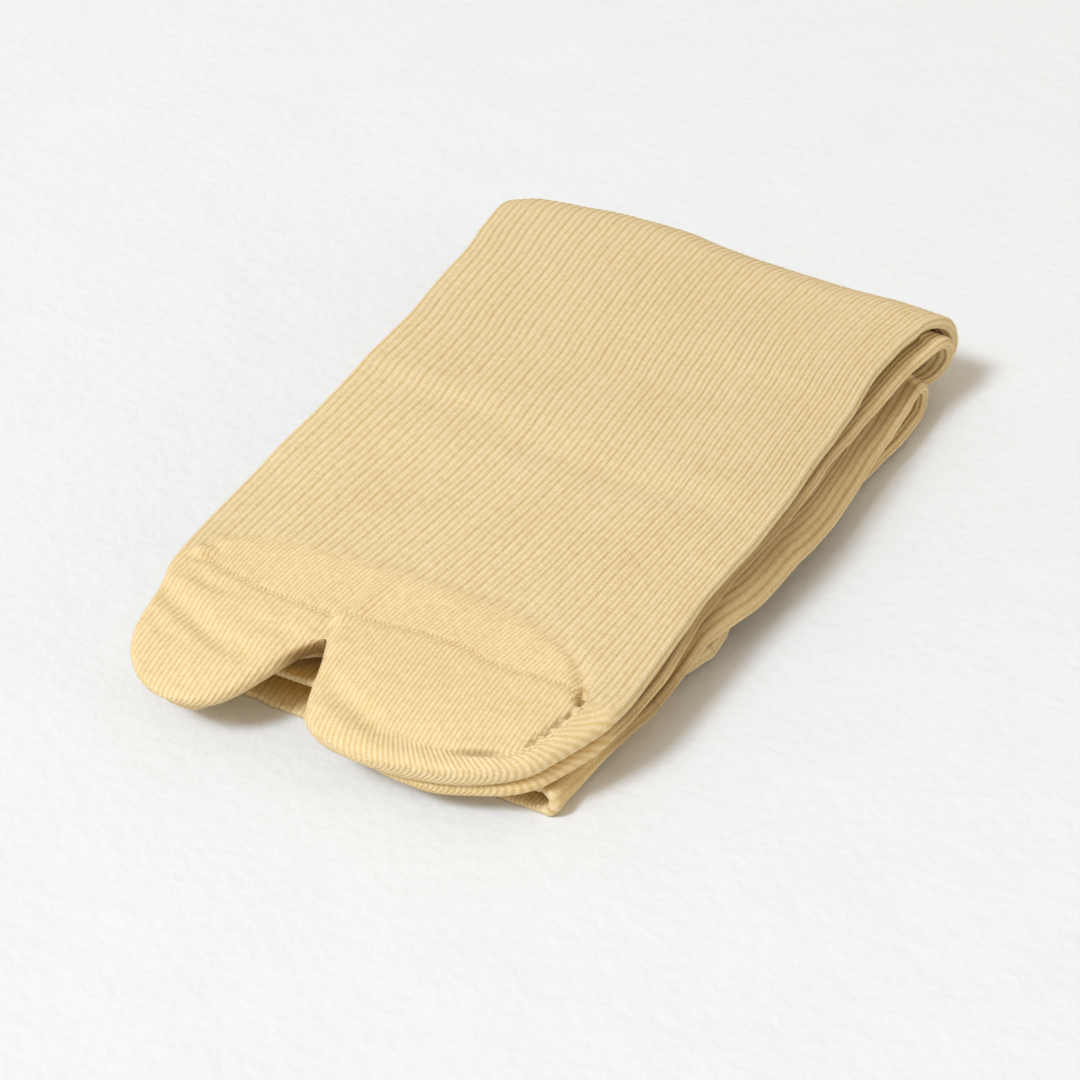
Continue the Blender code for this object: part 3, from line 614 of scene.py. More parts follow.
class Sock:
    def __init__(self, name, stretches, big, four, crotch, dense_top, dense_bottom, seed,
                 welt_from, cuff_end, upper):
        self.name, self.upper, self.seed = name, upper, seed
        self.cols = Columns(dense_top, dense_bottom, seed)
        self.path = Path(stretches, welt_from)
        self.leg_table = stretches[-1][2]
        self.foot_table = stretches[0][2]
        self.big, self.four, self.crotch = big, four, crotch
        self.welt_from, self.cuff_end = welt_from, cuff_end
        self.noise = [lattice_noise(seed * 10 + k) for k in range(6)]

    def edge_shift(self, s):
        """How far the two edges wander from the tables, mm."""
        n1, n2 = self.noise[:2]
        live = ease(s / 12.0)
        return (live * (0.30 * n1(s / 13.0, 0.3) + 0.14 * n1(s / 4.5, 7.3)),
                live * (0.30 * n2(s / 15.0, 0.6) + 0.12 * n2(s / 5.0, 5.1)))

    def tube_rows(self):
        """Row arrays as (R, C), with the first rows bent to the seam's line."""
        r = {k: v[:, None] for k, v in self.path.rows.items()}
        s = self.path.s[:, None]
        c = self.cols
        near_shift, far_shift = self.edge_shift(s)
        near, far = r["near"] + near_shift, r["far"] + far_shift
        x0, _, _, _ = ring_points(c, r["half"][:1], far[:1], near[:1])
        shift = (table(SEAM, x0[0]) - SEAM_Y)[None, :]
        fade = 1 - ease((r["y"] - SEAM_Y) / 11.0)
        fade = np.where(self.path.arm[:, None] == 0, fade, 0.0)
        y = r["y"] + shift * fade
        first = (self.path.arm == 0)
        vals = {k: np.broadcast_to(v, y.shape).copy() for k, v in
                dict(z=r["z"], ny=r["ny"], nz=r["nz"], half=r["half"], sn=r["sn"], sf=r["sf"]).items()}
        moved = Path.arm_values(self.foot_table, y[first], 1.0)
        for k in vals:
            vals[k][first] = moved[k]
        vals["near"] = np.broadcast_to(near, y.shape).copy()
        vals["far"] = np.broadcast_to(far, y.shape).copy()
        vals["near"][first] += moved["near"] - np.broadcast_to(r["near"], y.shape)[first]
        vals["far"][first] += moved["far"] - np.broadcast_to(r["far"], y.shape)[first]
        vals["y"] = y
        vals["s"] = np.broadcast_to(s, y.shape) + shift * fade
        vals["first"] = np.broadcast_to(first[:, None], y.shape)
        vals["last"] = np.broadcast_to((self.path.arm == self.path.arm[-1])[:, None], y.shape)
        return vals

    def skin(self, v, cols, inset=0.0, ribs=1.0, extra=0.0):
        """Points of one skin from row arrays, and its masks."""
        x, w, nx, nw = ring_points(cols, v["half"], v["far"], v["near"], inset)
        n4, n5, n6 = self.noise[3:6]
        s = v["s"]
        across = 1 - np.abs(2 * cols.q - 1) ** 6
        flat = (cols.seg == TOP) | (cols.seg == BOTTOM)
        over = np.where(flat, 1 - np.abs(2 * cols.q - 1) ** 2.2, 0) * np.where(cols.seg == TOP, 1, -1)
        x = x + over * table(DRIFT, SEAM_Y + s) * (s > 0)
        late = np.zeros(np.broadcast(x, v["y"]).shape)
        shade = np.zeros(late.shape)
        if not self.upper:
            # ribs crowd together where the cloth turns down; painted shade under the layer above
            late = v["last"] * ease((56.0 - v["y"]) / 14.0)
            crowd = np.minimum(1.5 * ease(cols.q / 0.13), 1.0) * (1 - cols.q) / 0.9
            crowd = np.where(flat, crowd, 0.0)
            x = x + crowd * (late * ease((v["y"] + 26.0) / 20.0) * 3.3 + 1.4 * v["first"] * ease(s / 12.0))
            above = np.where(v["last"], table([(r[0], r[4]) for r in LOWER_FOOT], v["y"]),
                             table([(r[0], r[4]) for r in UPPER_FOOT], v["y"]))
            reach = np.where(v["last"], 1.5, 0.6)
            under = ease((above + reach - x) / (reach + 0.6)) * ease((x - above + 6.0) / 2.0)
            upward = ease((v["nz"] * nw + 0.5) / 0.6)
            shade = 0.52 * under * upward * (v["last"] | v["first"]) * ease((v["y"] + 50.0) / 12.0)
        x = x + np.where(flat, across, 0) * (0.20 * n4(cols.u / 6.0, s / 12.0)
                                             + 0.05 * n5(cols.u / 1.7, s / 4.0))
        toes = v["first"] & (v["y"] < -20.0)
        band = np.where(toes, band_mask(x, v["y"]), 0.0)
        cap = np.where(toes, cap_mask(x, v["y"]), 0.0)
        amp = RIB * (1 - band) * (1 - cap) * (1 + 0.16 * n6(cols.u / 9.0, s / 14.0))
        amp = amp * (1 + 0.14 * n5(cols.u / 1.3 + 3.0, s / 6.0))
        disp = ribs * amp * cols.rib
        disp = disp + 0.10 * n6(x / 13.0 + 4.0, s / 10.0) + 0.04 * n5(x / 5.0, s / 5.0)
        if self.upper:
            shown = v["first"] & (cols.seg != BOTTOM) & (cols.seg != FAR_ARC)
            relief = instep_relief(x, v["y"]) * (1.0 if inset == 0 else 0.6)
            disp = disp + np.where(shown, relief, 0.0) * (
                np.where(cols.seg == NEAR_ARC, np.maximum(nw, 0), 1.0))
        disp = disp + extra
        x, w = x + nx * disp, w + nw * disp
        points = settle(x, v["y"] + v["ny"] * w, v["z"] + v["nz"] * w, v["sn"], v["sf"], late)
        if inset:
            shade = shade * 0.0
        return points, dict(rib=(1 - band) * (1 - cap), cap=cap, painted_shade=shade)


def unrolled(cols_seg, ang, x, centre_near, centre_far, r_near, r_far, is_web=None, web=None):
    """X measured over the cloth from its upper face, and from its lower face."""
    top, bottom = x.copy(), x.copy()
    for part, centre, radius, side in ((NEAR_ARC, centre_near, r_near, 1.0),
                                       (FAR_ARC, centre_far, r_far, -1.0)):
        m = cols_seg == part
        if m.any():
            top[:, m] = (centre + side * radius * (PI / 2 - ang))[:, m]
            bottom[:, m] = (centre + side * radius * (PI / 2 + ang))[:, m]
    if is_web is not None and is_web.any():
        centre, radius, side = web
        top[:, is_web] = (centre + side * radius * (PI / 2 - ang))[:, is_web]
        bottom[:, is_web] = (centre + side * radius * (PI / 2 + ang))[:, is_web]
    return top, bottom


def fan_field(x, y):
    """Wale number, and distance along the wale, where the wales fan out."""
    p = np.array([r[:2] for r in FAN], float)
    at = np.concatenate([[0], np.cumsum(np.linalg.norm(np.diff(p, axis=0), axis=1))])
    s = np.linspace(0, at[-1], 700)
    mx, my = smooth_table(at, p[:, 0], s), smooth_table(at, p[:, 1], s)
    phi = np.radians(smooth_table(at, [r[2] for r in FAN], s))
    dx, dy = np.sin(phi), -np.cos(phi)
    nx, ny = np.cos(phi), np.sin(phi)
    step = np.gradient(mx) * nx + np.gradient(my) * ny
    early = mx < 18.9
    first = np.argmin(early)
    number = (mx - 6.4) / CAP_WALE["four"]
    number[first:] = number[first - 1] + np.cumsum(step[first:]) / 0.61
    out_u, out_v = np.empty(x.size), np.empty(x.size)
    px, py = x.ravel(), y.ravel()
    for k in range(0, px.size, 4000):
        a, b = px[k:k + 4000, None] - mx, py[k:k + 4000, None] - my
        off, ahead = a * nx + b * ny, a * dx + b * dy
        j = np.argmin(np.abs(off) + 1000.0 * (ahead < -1.5), axis=1)
        row = np.arange(len(j))
        spread = step[j] + ahead[row, j] * np.gradient(phi)[j]
        part = np.clip(off[row, j] / np.maximum(spread, 1e-4), -1.0, 1.0)
        out_u[k:k + 4000] = number[j] + part * np.gradient(number)[j]
        out_v[k:k + 4000] = (SEAM_Y - my[j] + ahead[row, j]) / CAP_COURSE
    return out_u.reshape(x.shape), out_v.reshape(x.shape)


def pocket_uv(x, y, run, big):
    """Wale and course numbers on the toe pockets: straight, and where they fan out."""
    wale = np.where(big, CAP_WALE["big"], CAP_WALE["four"])
    middle = np.where(big, -26.2, 6.4)
    a = np.stack([(x - middle) / wale, run / CAP_COURSE], -1)
    return a, np.stack(fan_field(x, SEAM_Y - run), -1)


def build_sock(sock, material):
    """Makes the ribbed tube and the toe pockets; returns them and the seam's row."""
    name, cols, upper = sock.name, sock.cols, sock.upper
    crotch_x, crotch_y = sock.crotch
    v = sock.tube_rows()
    n_rows, n_cols = v["y"].shape

    # Rows of the toe pockets before they part: from the seam to the crotch.
    n_pre = 11 if upper else 6
    f = (np.arange(1, n_pre) / (n_pre - 1))[:, None]
    y_pre = v["y"][:1] * (1 - f) + crotch_y * f
    pre = Path.arm_values(sock.foot_table, y_pre, 1.0)
    row0 = Path.arm_values(sock.foot_table, v["y"][:1], 1.0)
    pre["y"], pre["s"] = y_pre, y_pre - SEAM_Y
    pre["first"] = np.ones(y_pre.shape, bool)
    pre["last"] = ~pre["first"]
    for k in ("near", "far"):
        pre[k] = pre[k] + (v[k][:1] - row0[k]) * (1 - f)

    tube_pts, tube_masks = sock.skin(v, cols)
    pre_pts, pre_masks = sock.skin(pre, cols)
    pre_x = ring_points(cols, pre["half"], pre["far"], pre["near"])[0]

    # the two columns where the instep and the sole part at the crotch
    root = {k: pre[k][-1] for k in ("y", "z", "ny", "nz", "half", "far", "near", "sn", "sf")}
    xr = pre_x[-1]
    top, bottom = np.flatnonzero(cols.seg == TOP), np.flatnonzero(cols.seg == BOTTOM)
    near_arc, far_arc = np.flatnonzero(cols.seg == NEAR_ARC), np.flatnonzero(cols.seg == FAR_ARC)
    jt = top[np.argmin(np.abs(xr[top] - crotch_x))]
    jb = bottom[np.argmin(np.abs(xr[bottom] - crotch_x))]
    n_web = 9
    web_a = PI / 2 - PI * np.arange(1, n_web + 1) / (n_web + 1)     # instep to sole
    h0, y0, z0 = float(root["half"][jt]), float(root["y"][jt]), float(root["z"][jt])
    ny0, nz0 = float(root["ny"][jt]), float(root["nz"][jt])

    points = [tube_pts.reshape(-1, 3), pre_pts.reshape(-1, 3)]
    masks = {k: [tube_masks[k].ravel(), pre_masks[k].ravel()] for k in tube_masks}
    pre_start = n_rows * n_cols
    root_start = pre_start + (n_pre - 2) * n_cols
    count = pre_start + (n_pre - 1) * n_cols
    web_top, web_bottom = pre_pts[-1, jt], pre_pts[-1, jb]
    sunk = (1 - np.sin(web_a)) / 2
    web_root = web_top + (web_bottom - web_top) * sunk[:, None]
    web_root[:, 1] += 0.6 * MM * np.cos(web_a)
    web_ids = count + np.arange(n_web)
    points.append(web_root)
    masks["rib"].append(np.zeros(n_web))
    masks["cap"].append(np.ones(n_web))
    # painted shade in the crotch, between the two pockets
    masks["painted_shade"].append(np.full(n_web, 0.9 if upper else 0.4) * ease(2.2 * np.arange(1, n_web + 1) / n_web))
    count += n_web

    cap_faces, cap_a, cap_b, cap_use, cap_knit = [], [], [], [], []

    def add_uv(xt, xb, y, run, big, roles_bottom, order):
        """Loop UVs of a lattice; xt and xb are the unrolled X of both faces."""
        def loops(c):
            return np.stack([c[:-1], np.roll(c, -1, 1)[:-1], np.roll(c, -1, 1)[1:], c[1:]], -2)
        below = (roles_bottom | np.roll(roles_bottom, -1))[None, :]
        mid_x = loops(xt[..., None])[..., 0].mean(-1)
        if big is None:
            mid = loops(np.broadcast_to(y, xt.shape)[..., None])[..., 0].mean(-1)
            whose = mid_x < smooth_table([-51.5, -48.6, -46.2], [-9.6, -9.9, -10.3], mid)
        else:
            whose = np.full(mid_x.shape, big)
        pick = [[pocket_uv(x_, y, run, flag)[0] for flag in (True, False)] for x_ in (xb, xt)]
        pick = [np.where(whose[..., None, None], loops(p_), loops(q_)) for p_, q_ in pick]
        a = np.where(below[..., None, None], *pick)
        b = loops(pocket_uv(xt, y, run, False)[1])
        mid_y = SEAM_Y - loops(run[..., None])[..., 0].mean(-1)
        panel = (side_of(mid_x, mid_y, [r[:2] for r in FAN]) < 0) & (mid_x > -4.0) & ~below
        uv = np.where(panel[..., None, None], b, a)[:, :, order]
        return uv.reshape(-1, 4, 2)

    for kind, rows in (("four", sock.four), ("big", sock.big)):
        tip_y = rows[-1][0]
        first_ids = list(near_arc) + list(range(top[0], jt + 1))
        if kind == "four":
            roles = ([("c", j) for j in first_ids] + [("w", k) for k in range(n_web)]
                     + [("c", j) for j in range(jb, bottom[-1] + 1)])
        else:
            roles = ([("c", j) for j in list(range(jt, top[-1] + 1)) + list(far_arc)
                      + list(range(bottom[0], jb + 1))] + [("w", k) for k in range(n_web)[::-1]])
        n_ring = len(roles)
        is_web = np.array([r[0] == "w" for r in roles])
        which = np.array([r[1] for r in roles])
        col = np.where(is_web, 0, which)
        seg = np.where(is_web, -1, cols.seg[col])
        ang = np.where(is_web, web_a[np.where(is_web, which, 0)], cols.a[col])
        ring0 = np.where(is_web, web_ids[np.where(is_web, which, 0)], root_start + col)
        x_root = np.where(is_web, crotch_x, xr[col])

        q0 = math.sqrt(y0 - tip_y)
        at_q = np.sqrt(np.maximum(np.array([y0] + [r[0] for r in rows]) - tip_y, 0))[::-1]

        def column(first, k):
            return np.array([first] + [r[k] for r in rows], float)[::-1]
        far_root = float(root["far"][jt]) if kind == "big" else crotch_x
        near_root = float(root["near"][jt]) if kind == "four" else crotch_x
        n_lobe = 34
        q = q0 * (1 - np.arange(1, n_lobe) / n_lobe)
        z = smooth_table(at_q, column(z0, 1), q)
        half = smooth_table(at_q, column(2 * h0, 2), q) / 2
        far = smooth_table(at_q, column(far_root, 3), q)
        near = smooth_table(at_q, column(near_root, 4), q)
        y = tip_y + q * q
        depth = y0 - y
        slope = (z0 - rows[-1][1]) / (y0 - tip_y)
        lean = ease(depth / 4.0)
        ny = ny0 * (1 - lean) + (-slope / math.hypot(1, slope)) * lean
        nz = nz0 * (1 - lean) + (1 / math.hypot(1, slope)) * lean
        rx = half * ease(depth / 3.0) ** 0.5
        if kind == "four":
            lo, hi = far + rx, near - half
            lo_root, hi_root = crotch_x, float(root["near"][jt]) - h0
        else:
            lo, hi = far + half, near - rx
            lo_root, hi_root = float(root["far"][jt]) + h0, crotch_x
        frac = np.clip((x_root - lo_root) / (hi_root - lo_root), 0, 1)
        R = lambda a: a[:, None]
        x = R(lo) + R(hi - lo) * frac
        w = np.where(seg == TOP, 1.0, -1.0) * R(half)
        nx = np.zeros(x.shape)
        nw = np.broadcast_to(np.where(seg == TOP, 1.0, -1.0), x.shape).copy()
        dome = ease(R(depth) / 8.0) * 0.12
        w = w * (1 + dome * (1 - (2 * frac - 1) ** 2) - dome * 0.4)
        web_side = -1.0 if kind == "four" else 1.0
        for part, centre, radius, side in ((NEAR_ARC, hi, half, 1.0), (FAR_ARC, lo, half, -1.0),
                                           (-1, lo if kind == "four" else hi, rx, web_side)):
            m = seg == part
            if m.any():
                x[:, m] = R(centre) + side * R(radius) * np.cos(ang[m])
                w[:, m] = (R(half) * (1 - 0.4 * dome)) * np.sin(ang[m])
                nx[:, m] = side * np.cos(ang[m])
                nw[:, m] = np.sin(ang[m])
        yy = np.broadcast_to(R(y), x.shape)
        cap = np.where((seg == BOTTOM) | (seg == FAR_ARC) | is_web, 1.0, cap_mask(x, yy))
        rib = np.where(is_web, 0.0, cols.rib[col])
        disp = RIB * (1 - cap) * rib * R(hi - lo) / (hi_root - lo_root)
        disp = disp + 0.10 * sock.noise[5](x / 13.0 + 4.0, (yy - SEAM_Y) / 10.0)
        disp = disp + 0.04 * sock.noise[4](x / 5.0, (yy - SEAM_Y) / 5.0)
        if upper:
            over = np.where(seg == TOP, 1.0, np.where(seg == BOTTOM, 0.0, np.maximum(nw, 0)))
            disp = disp + instep_relief(x, yy) * over
        disp = disp * ease(R(q) / 0.9)
        x, w = x + nx * disp, w + nw * disp
        pts = settle(x, yy + R(ny) * w, R(z) + R(nz) * w, root["sn"][jt], root["sf"][jt])
        tip = settle(np.array([rows[-1][3]]), np.array([tip_y]), np.array([rows[-1][1]]), 0.5, 0.5)
        points += [pts.reshape(-1, 3), tip]
        masks["cap"] += [cap.ravel(), np.ones(1)]
        masks["rib"] += [(1 - cap).ravel(), np.zeros(1)]
        # painted shade on the lower part of the wall between the pockets, fading away from the crotch
        inner = np.where(is_web, ease((0.95 - np.sin(ang)) / 0.5), 0.0) * (1 - ease((R(depth) - 3.4) / 5.0))
        masks["painted_shade"] += [inner.ravel() * (0.92 if upper and kind == "big" else 0.25), np.zeros(1)]
        body = count + np.arange((n_lobe - 1) * n_ring).reshape(n_lobe - 1, n_ring)
        count += (n_lobe - 1) * n_ring + 1
        tip_row = np.full((1, n_ring), count - 1)
        all_rows = np.vstack([ring0[None, :], body])
        a, b = all_rows[:-1], all_rows[1:]
        quads = np.stack([a, np.roll(a, -1, 1), np.roll(b, -1, 1), b], -1).reshape(-1, 4)
        last = all_rows[-1]
        fan = np.stack([last, np.roll(last, -1), tip_row[0], tip_row[0]], -1)
        cap_faces.append(np.vstack([quads, fan]))

        # where each vertex lies over the cloth, for the stitches
        full = lambda first, middle, end: np.concatenate([[first], middle, [end]])
        hs, ys = full(h0, half, 0.0), full(y0, y, tip_y)
        los, his = full(lo_root, lo, rows[-1][3]), full(hi_root, hi, rows[-1][3])
        webs = full(0.0, (rx + half) / 2, 0.0)
        rows_x = np.vstack([x_root[None, :], x, np.full((1, n_ring), rows[-1][3])])
        xt, xb = unrolled(seg, ang, rows_x, R(his), R(los), R(hs), R(hs), is_web,
                          (R(los if kind == "four" else his), R(webs), web_side))
        zz = full(z0, z, rows[-1][1]) + hs
        run = np.concatenate([[0], np.cumsum(np.hypot(np.diff(ys), np.diff(zz)))]) + (SEAM_Y - y0)
        shape = rows_x.shape
        y_all = np.broadcast_to(R(ys), shape)
        run = np.broadcast_to(R(run), shape)
        cap_a.append(add_uv(xt, xb, y_all, run, kind == "big", seg == BOTTOM, [0, 1, 2, 3]))
        u_col = np.where(is_web, 0.0, cols.u[col])
        u_next = np.roll(u_col, -1)
        u_next = np.where(u_next < u_col - 60, N_ALL, u_next)
        kv = -run[:, :1] / COURSE
        u0, u1 = np.broadcast_to(u_col, (n_lobe, n_ring)), np.broadcast_to(u_next, (n_lobe, n_ring))
        va, vb = np.broadcast_to(kv[:-1], u0.shape), np.broadcast_to(kv[1:], u0.shape)
        cap_knit.append(np.stack([np.stack([u0, va], -1), np.stack([u1, va], -1),
                                  np.stack([u1, vb], -1), np.stack([u0, vb], -1)], -2).reshape(-1, 4, 2))

    points = np.vstack(points)
    masks = {k: np.concatenate(m) for k, m in masks.items()}

    # ------------------------------------------------------------ faces and UVs
    tube_faces = grid(n_rows, n_cols)
    tube_knit = loop_uv(cols.u, v["s"] / COURSE, n_rows, N_ALL)

    # the seam's row to the crotch; rows run toward the tips
    pre_ids = np.vstack([np.arange(n_cols)[None, :],
                         pre_start + np.arange((n_pre - 1) * n_cols).reshape(n_pre - 1, n_cols)])
    a, b = pre_ids[:-1], pre_ids[1:]
    pre_faces = np.stack([a, np.roll(a, -1, 1), np.roll(b, -1, 1), b], -1).reshape(-1, 4)
    both = {k: np.vstack([v[k][:1], pre[k]]) for k in ("y", "half", "far", "near", "s")}
    x_all = ring_points(cols, both["half"], both["far"], both["near"])[0]
    xt, xb = unrolled(cols.seg, cols.a, x_all, both["near"] - both["half"],
                      both["far"] + both["half"], both["half"], both["half"])
    pre_plain = add_uv(xt, xb, both["y"], SEAM_Y - both["y"], None, cols.seg == BOTTOM, [0, 1, 2, 3])
    pre_knit = loop_uv(cols.u, both["s"] / COURSE, n_pre, N_ALL)[:, [0, 3, 2, 1]]
    tube_plain = np.zeros((len(tube_faces), 4, 2))
    near_seam = 6 * n_cols                  # the blend at the seam needs both maps
    xs = ring_points(cols, v["half"][:8], v["far"][:8], v["near"][:8])[0]
    xt, xb = unrolled(cols.seg, cols.a, xs, (v["near"] - v["half"])[:8], (v["far"] + v["half"])[:8],
                      v["half"][:8], v["half"][:8])
    first_plain = add_uv(xt, xb, v["y"][:8], SEAM_Y - v["y"][:8], None, cols.seg == BOTTOM,
                         [0, 3, 2, 1])
    tube_plain[:7 * n_cols] = first_plain

    caps = np.vstack([pre_faces] + cap_faces)
    caps_knit = np.vstack([pre_knit] + cap_knit)
    caps_plain = np.vstack([pre_plain] + cap_a)
    normals = vertex_normals(points, np.vstack([tube_faces, caps]))
    # painted shade in the eyelets, the dimple, the slit and along the seam's groove of the upper instep
    painted_shade = np.zeros(len(points))
    if upper:
        fx, fy = points[:, 0] / MM + CENTRE_X, points[:, 1] / MM + CENTRE_Y
        for line in EYELETS:
            r, t = to_line(fx, fy, line)
            painted_shade = np.maximum(painted_shade, 0.70 * np.exp(-(r / 0.32) ** 2) * (0.35 + 0.65 * hump(t)))
        r, t = to_line(fx, fy, DIMPLE)
        painted_shade = np.maximum(painted_shade, 0.88 * np.exp(-(r / 0.46) ** 2) * (0.35 + 0.65 * hump(0.25 + 0.6 * t)))
        r, t = to_line(fx, fy, SLIT)
        painted_shade = np.maximum(painted_shade, 0.62 * np.exp(-(r / 0.30) ** 2) * hump(0.1 + 0.8 * t) ** 0.6)
        r = np.abs(fy - table(SEAM, fx))
        painted_shade = np.maximum(painted_shade, 0.19 * np.exp(-(r / 0.34) ** 2) * (fx > -38.0) * (fx < 30.5))
        painted_shade = painted_shade * (points[:, 2] / MM > 9.8)
    masks["painted_shade"] = np.maximum(masks["painted_shade"], painted_shade)

    # ------------------------------------------------------------- inner skins
    whole = np.abs(cols.u * 2 - np.round(cols.u * 2)) < 1e-9
    arc = (cols.seg == NEAR_ARC) | (cols.seg == FAR_ARC)
    pick = np.flatnonzero(whole & ((np.floor(cols.u).astype(int) % 2 == 0) | arc))
    inner_cols = Columns.__new__(Columns)
    for key in ("seg", "t", "u", "fine", "rib", "q", "a"):
        setattr(inner_cols, key, getattr(cols, key)[pick])
    inner_cols.n = len(pick)
    every = np.unique(np.concatenate([np.arange(0, n_rows, 2), [n_rows - 1]]))
    vi = {k: np.broadcast_to(a_, v["y"].shape)[np.ix_(every, pick)] for k, a_ in v.items()}
    in_pts, in_masks = sock.skin(vi, inner_cols, inset=WALL, ribs=0.0)
    ni, mi = in_pts.shape[:2]
    base = len(points)
    points2 = np.vstack([points, in_pts.reshape(-1, 3)])
    masks2 = {k: np.concatenate([m, in_masks[k].ravel() if k in in_masks else np.zeros(ni * mi)])
              for k, m in masks.items()}
    in_faces = grid(ni, mi, start=base, flip=True)
    in_knit = loop_uv(inner_cols.u, vi["s"] / COURSE, ni, N_ALL, flip=True)
    rim0 = rim_between(list(range(n_cols)), {int(p): base + k for k, p in enumerate(pick)})
    rim1 = rim_between(list(range((n_rows - 1) * n_cols, n_rows * n_cols)),
                       {int(p): base + (ni - 1) * mi + k for k, p in enumerate(pick)})
    rim1 = rim1[:, [0, 2, 1, 1]]
    blank = lambda faces: np.zeros((len(faces), 4, 2))
    inner_normals = vertex_normals(points2, in_faces)
    tube = make_object(name + "_leg_and_foot", points2,
                       np.vstack([tube_faces, in_faces, rim0, rim1]),
                       np.vstack([tube_knit, in_knit, blank(rim0), blank(rim1)]),
                       np.vstack([tube_plain, in_knit, blank(rim0), blank(rim1)]),
                       masks2, np.vstack([normals, inner_normals[base:]]), material)

    # the pockets' inner skin is their outer one, moved in along its normals
    cap_ids = np.unique(caps)
    lookup = np.full(len(points), -1)
    lookup[cap_ids] = len(points) + np.arange(len(cap_ids))
    points3 = np.vstack([points, points[cap_ids] - normals[cap_ids] * 0.9 * MM])
    masks3 = {k: np.concatenate([m, m[cap_ids]]) for k, m in masks.items()}
    tri = caps[:, 3] == caps[:, 2]
    inner_caps = lookup[caps][:, ::-1]
    inner_caps[tri] = lookup[caps[tri]][:, [2, 1, 0, 0]]
    k2, p2 = caps_knit[:, ::-1].copy(), caps_plain[:, ::-1].copy()
    k2[tri], p2[tri] = caps_knit[tri][:, [2, 1, 0, 0]], caps_plain[tri][:, [2, 1, 0, 0]]
    ring = np.arange(n_cols)
    rim_cap = np.stack([ring, lookup[ring], lookup[np.roll(ring, -1)], np.roll(ring, -1)], -1)
    pockets = make_object(name + "_toe_pockets", points3, np.vstack([caps, inner_caps, rim_cap]),
                          np.vstack([caps_knit, k2, blank(rim_cap)]),
                          np.vstack([caps_plain, p2, blank(rim_cap)]), masks3,
                          np.vstack([normals, -normals[cap_ids]]), material)
    seam_line = (tube_pts[0][top], normals[top])
    outer_top = (points[:base], normals)
    return tube, pockets, seam_line, outer_top


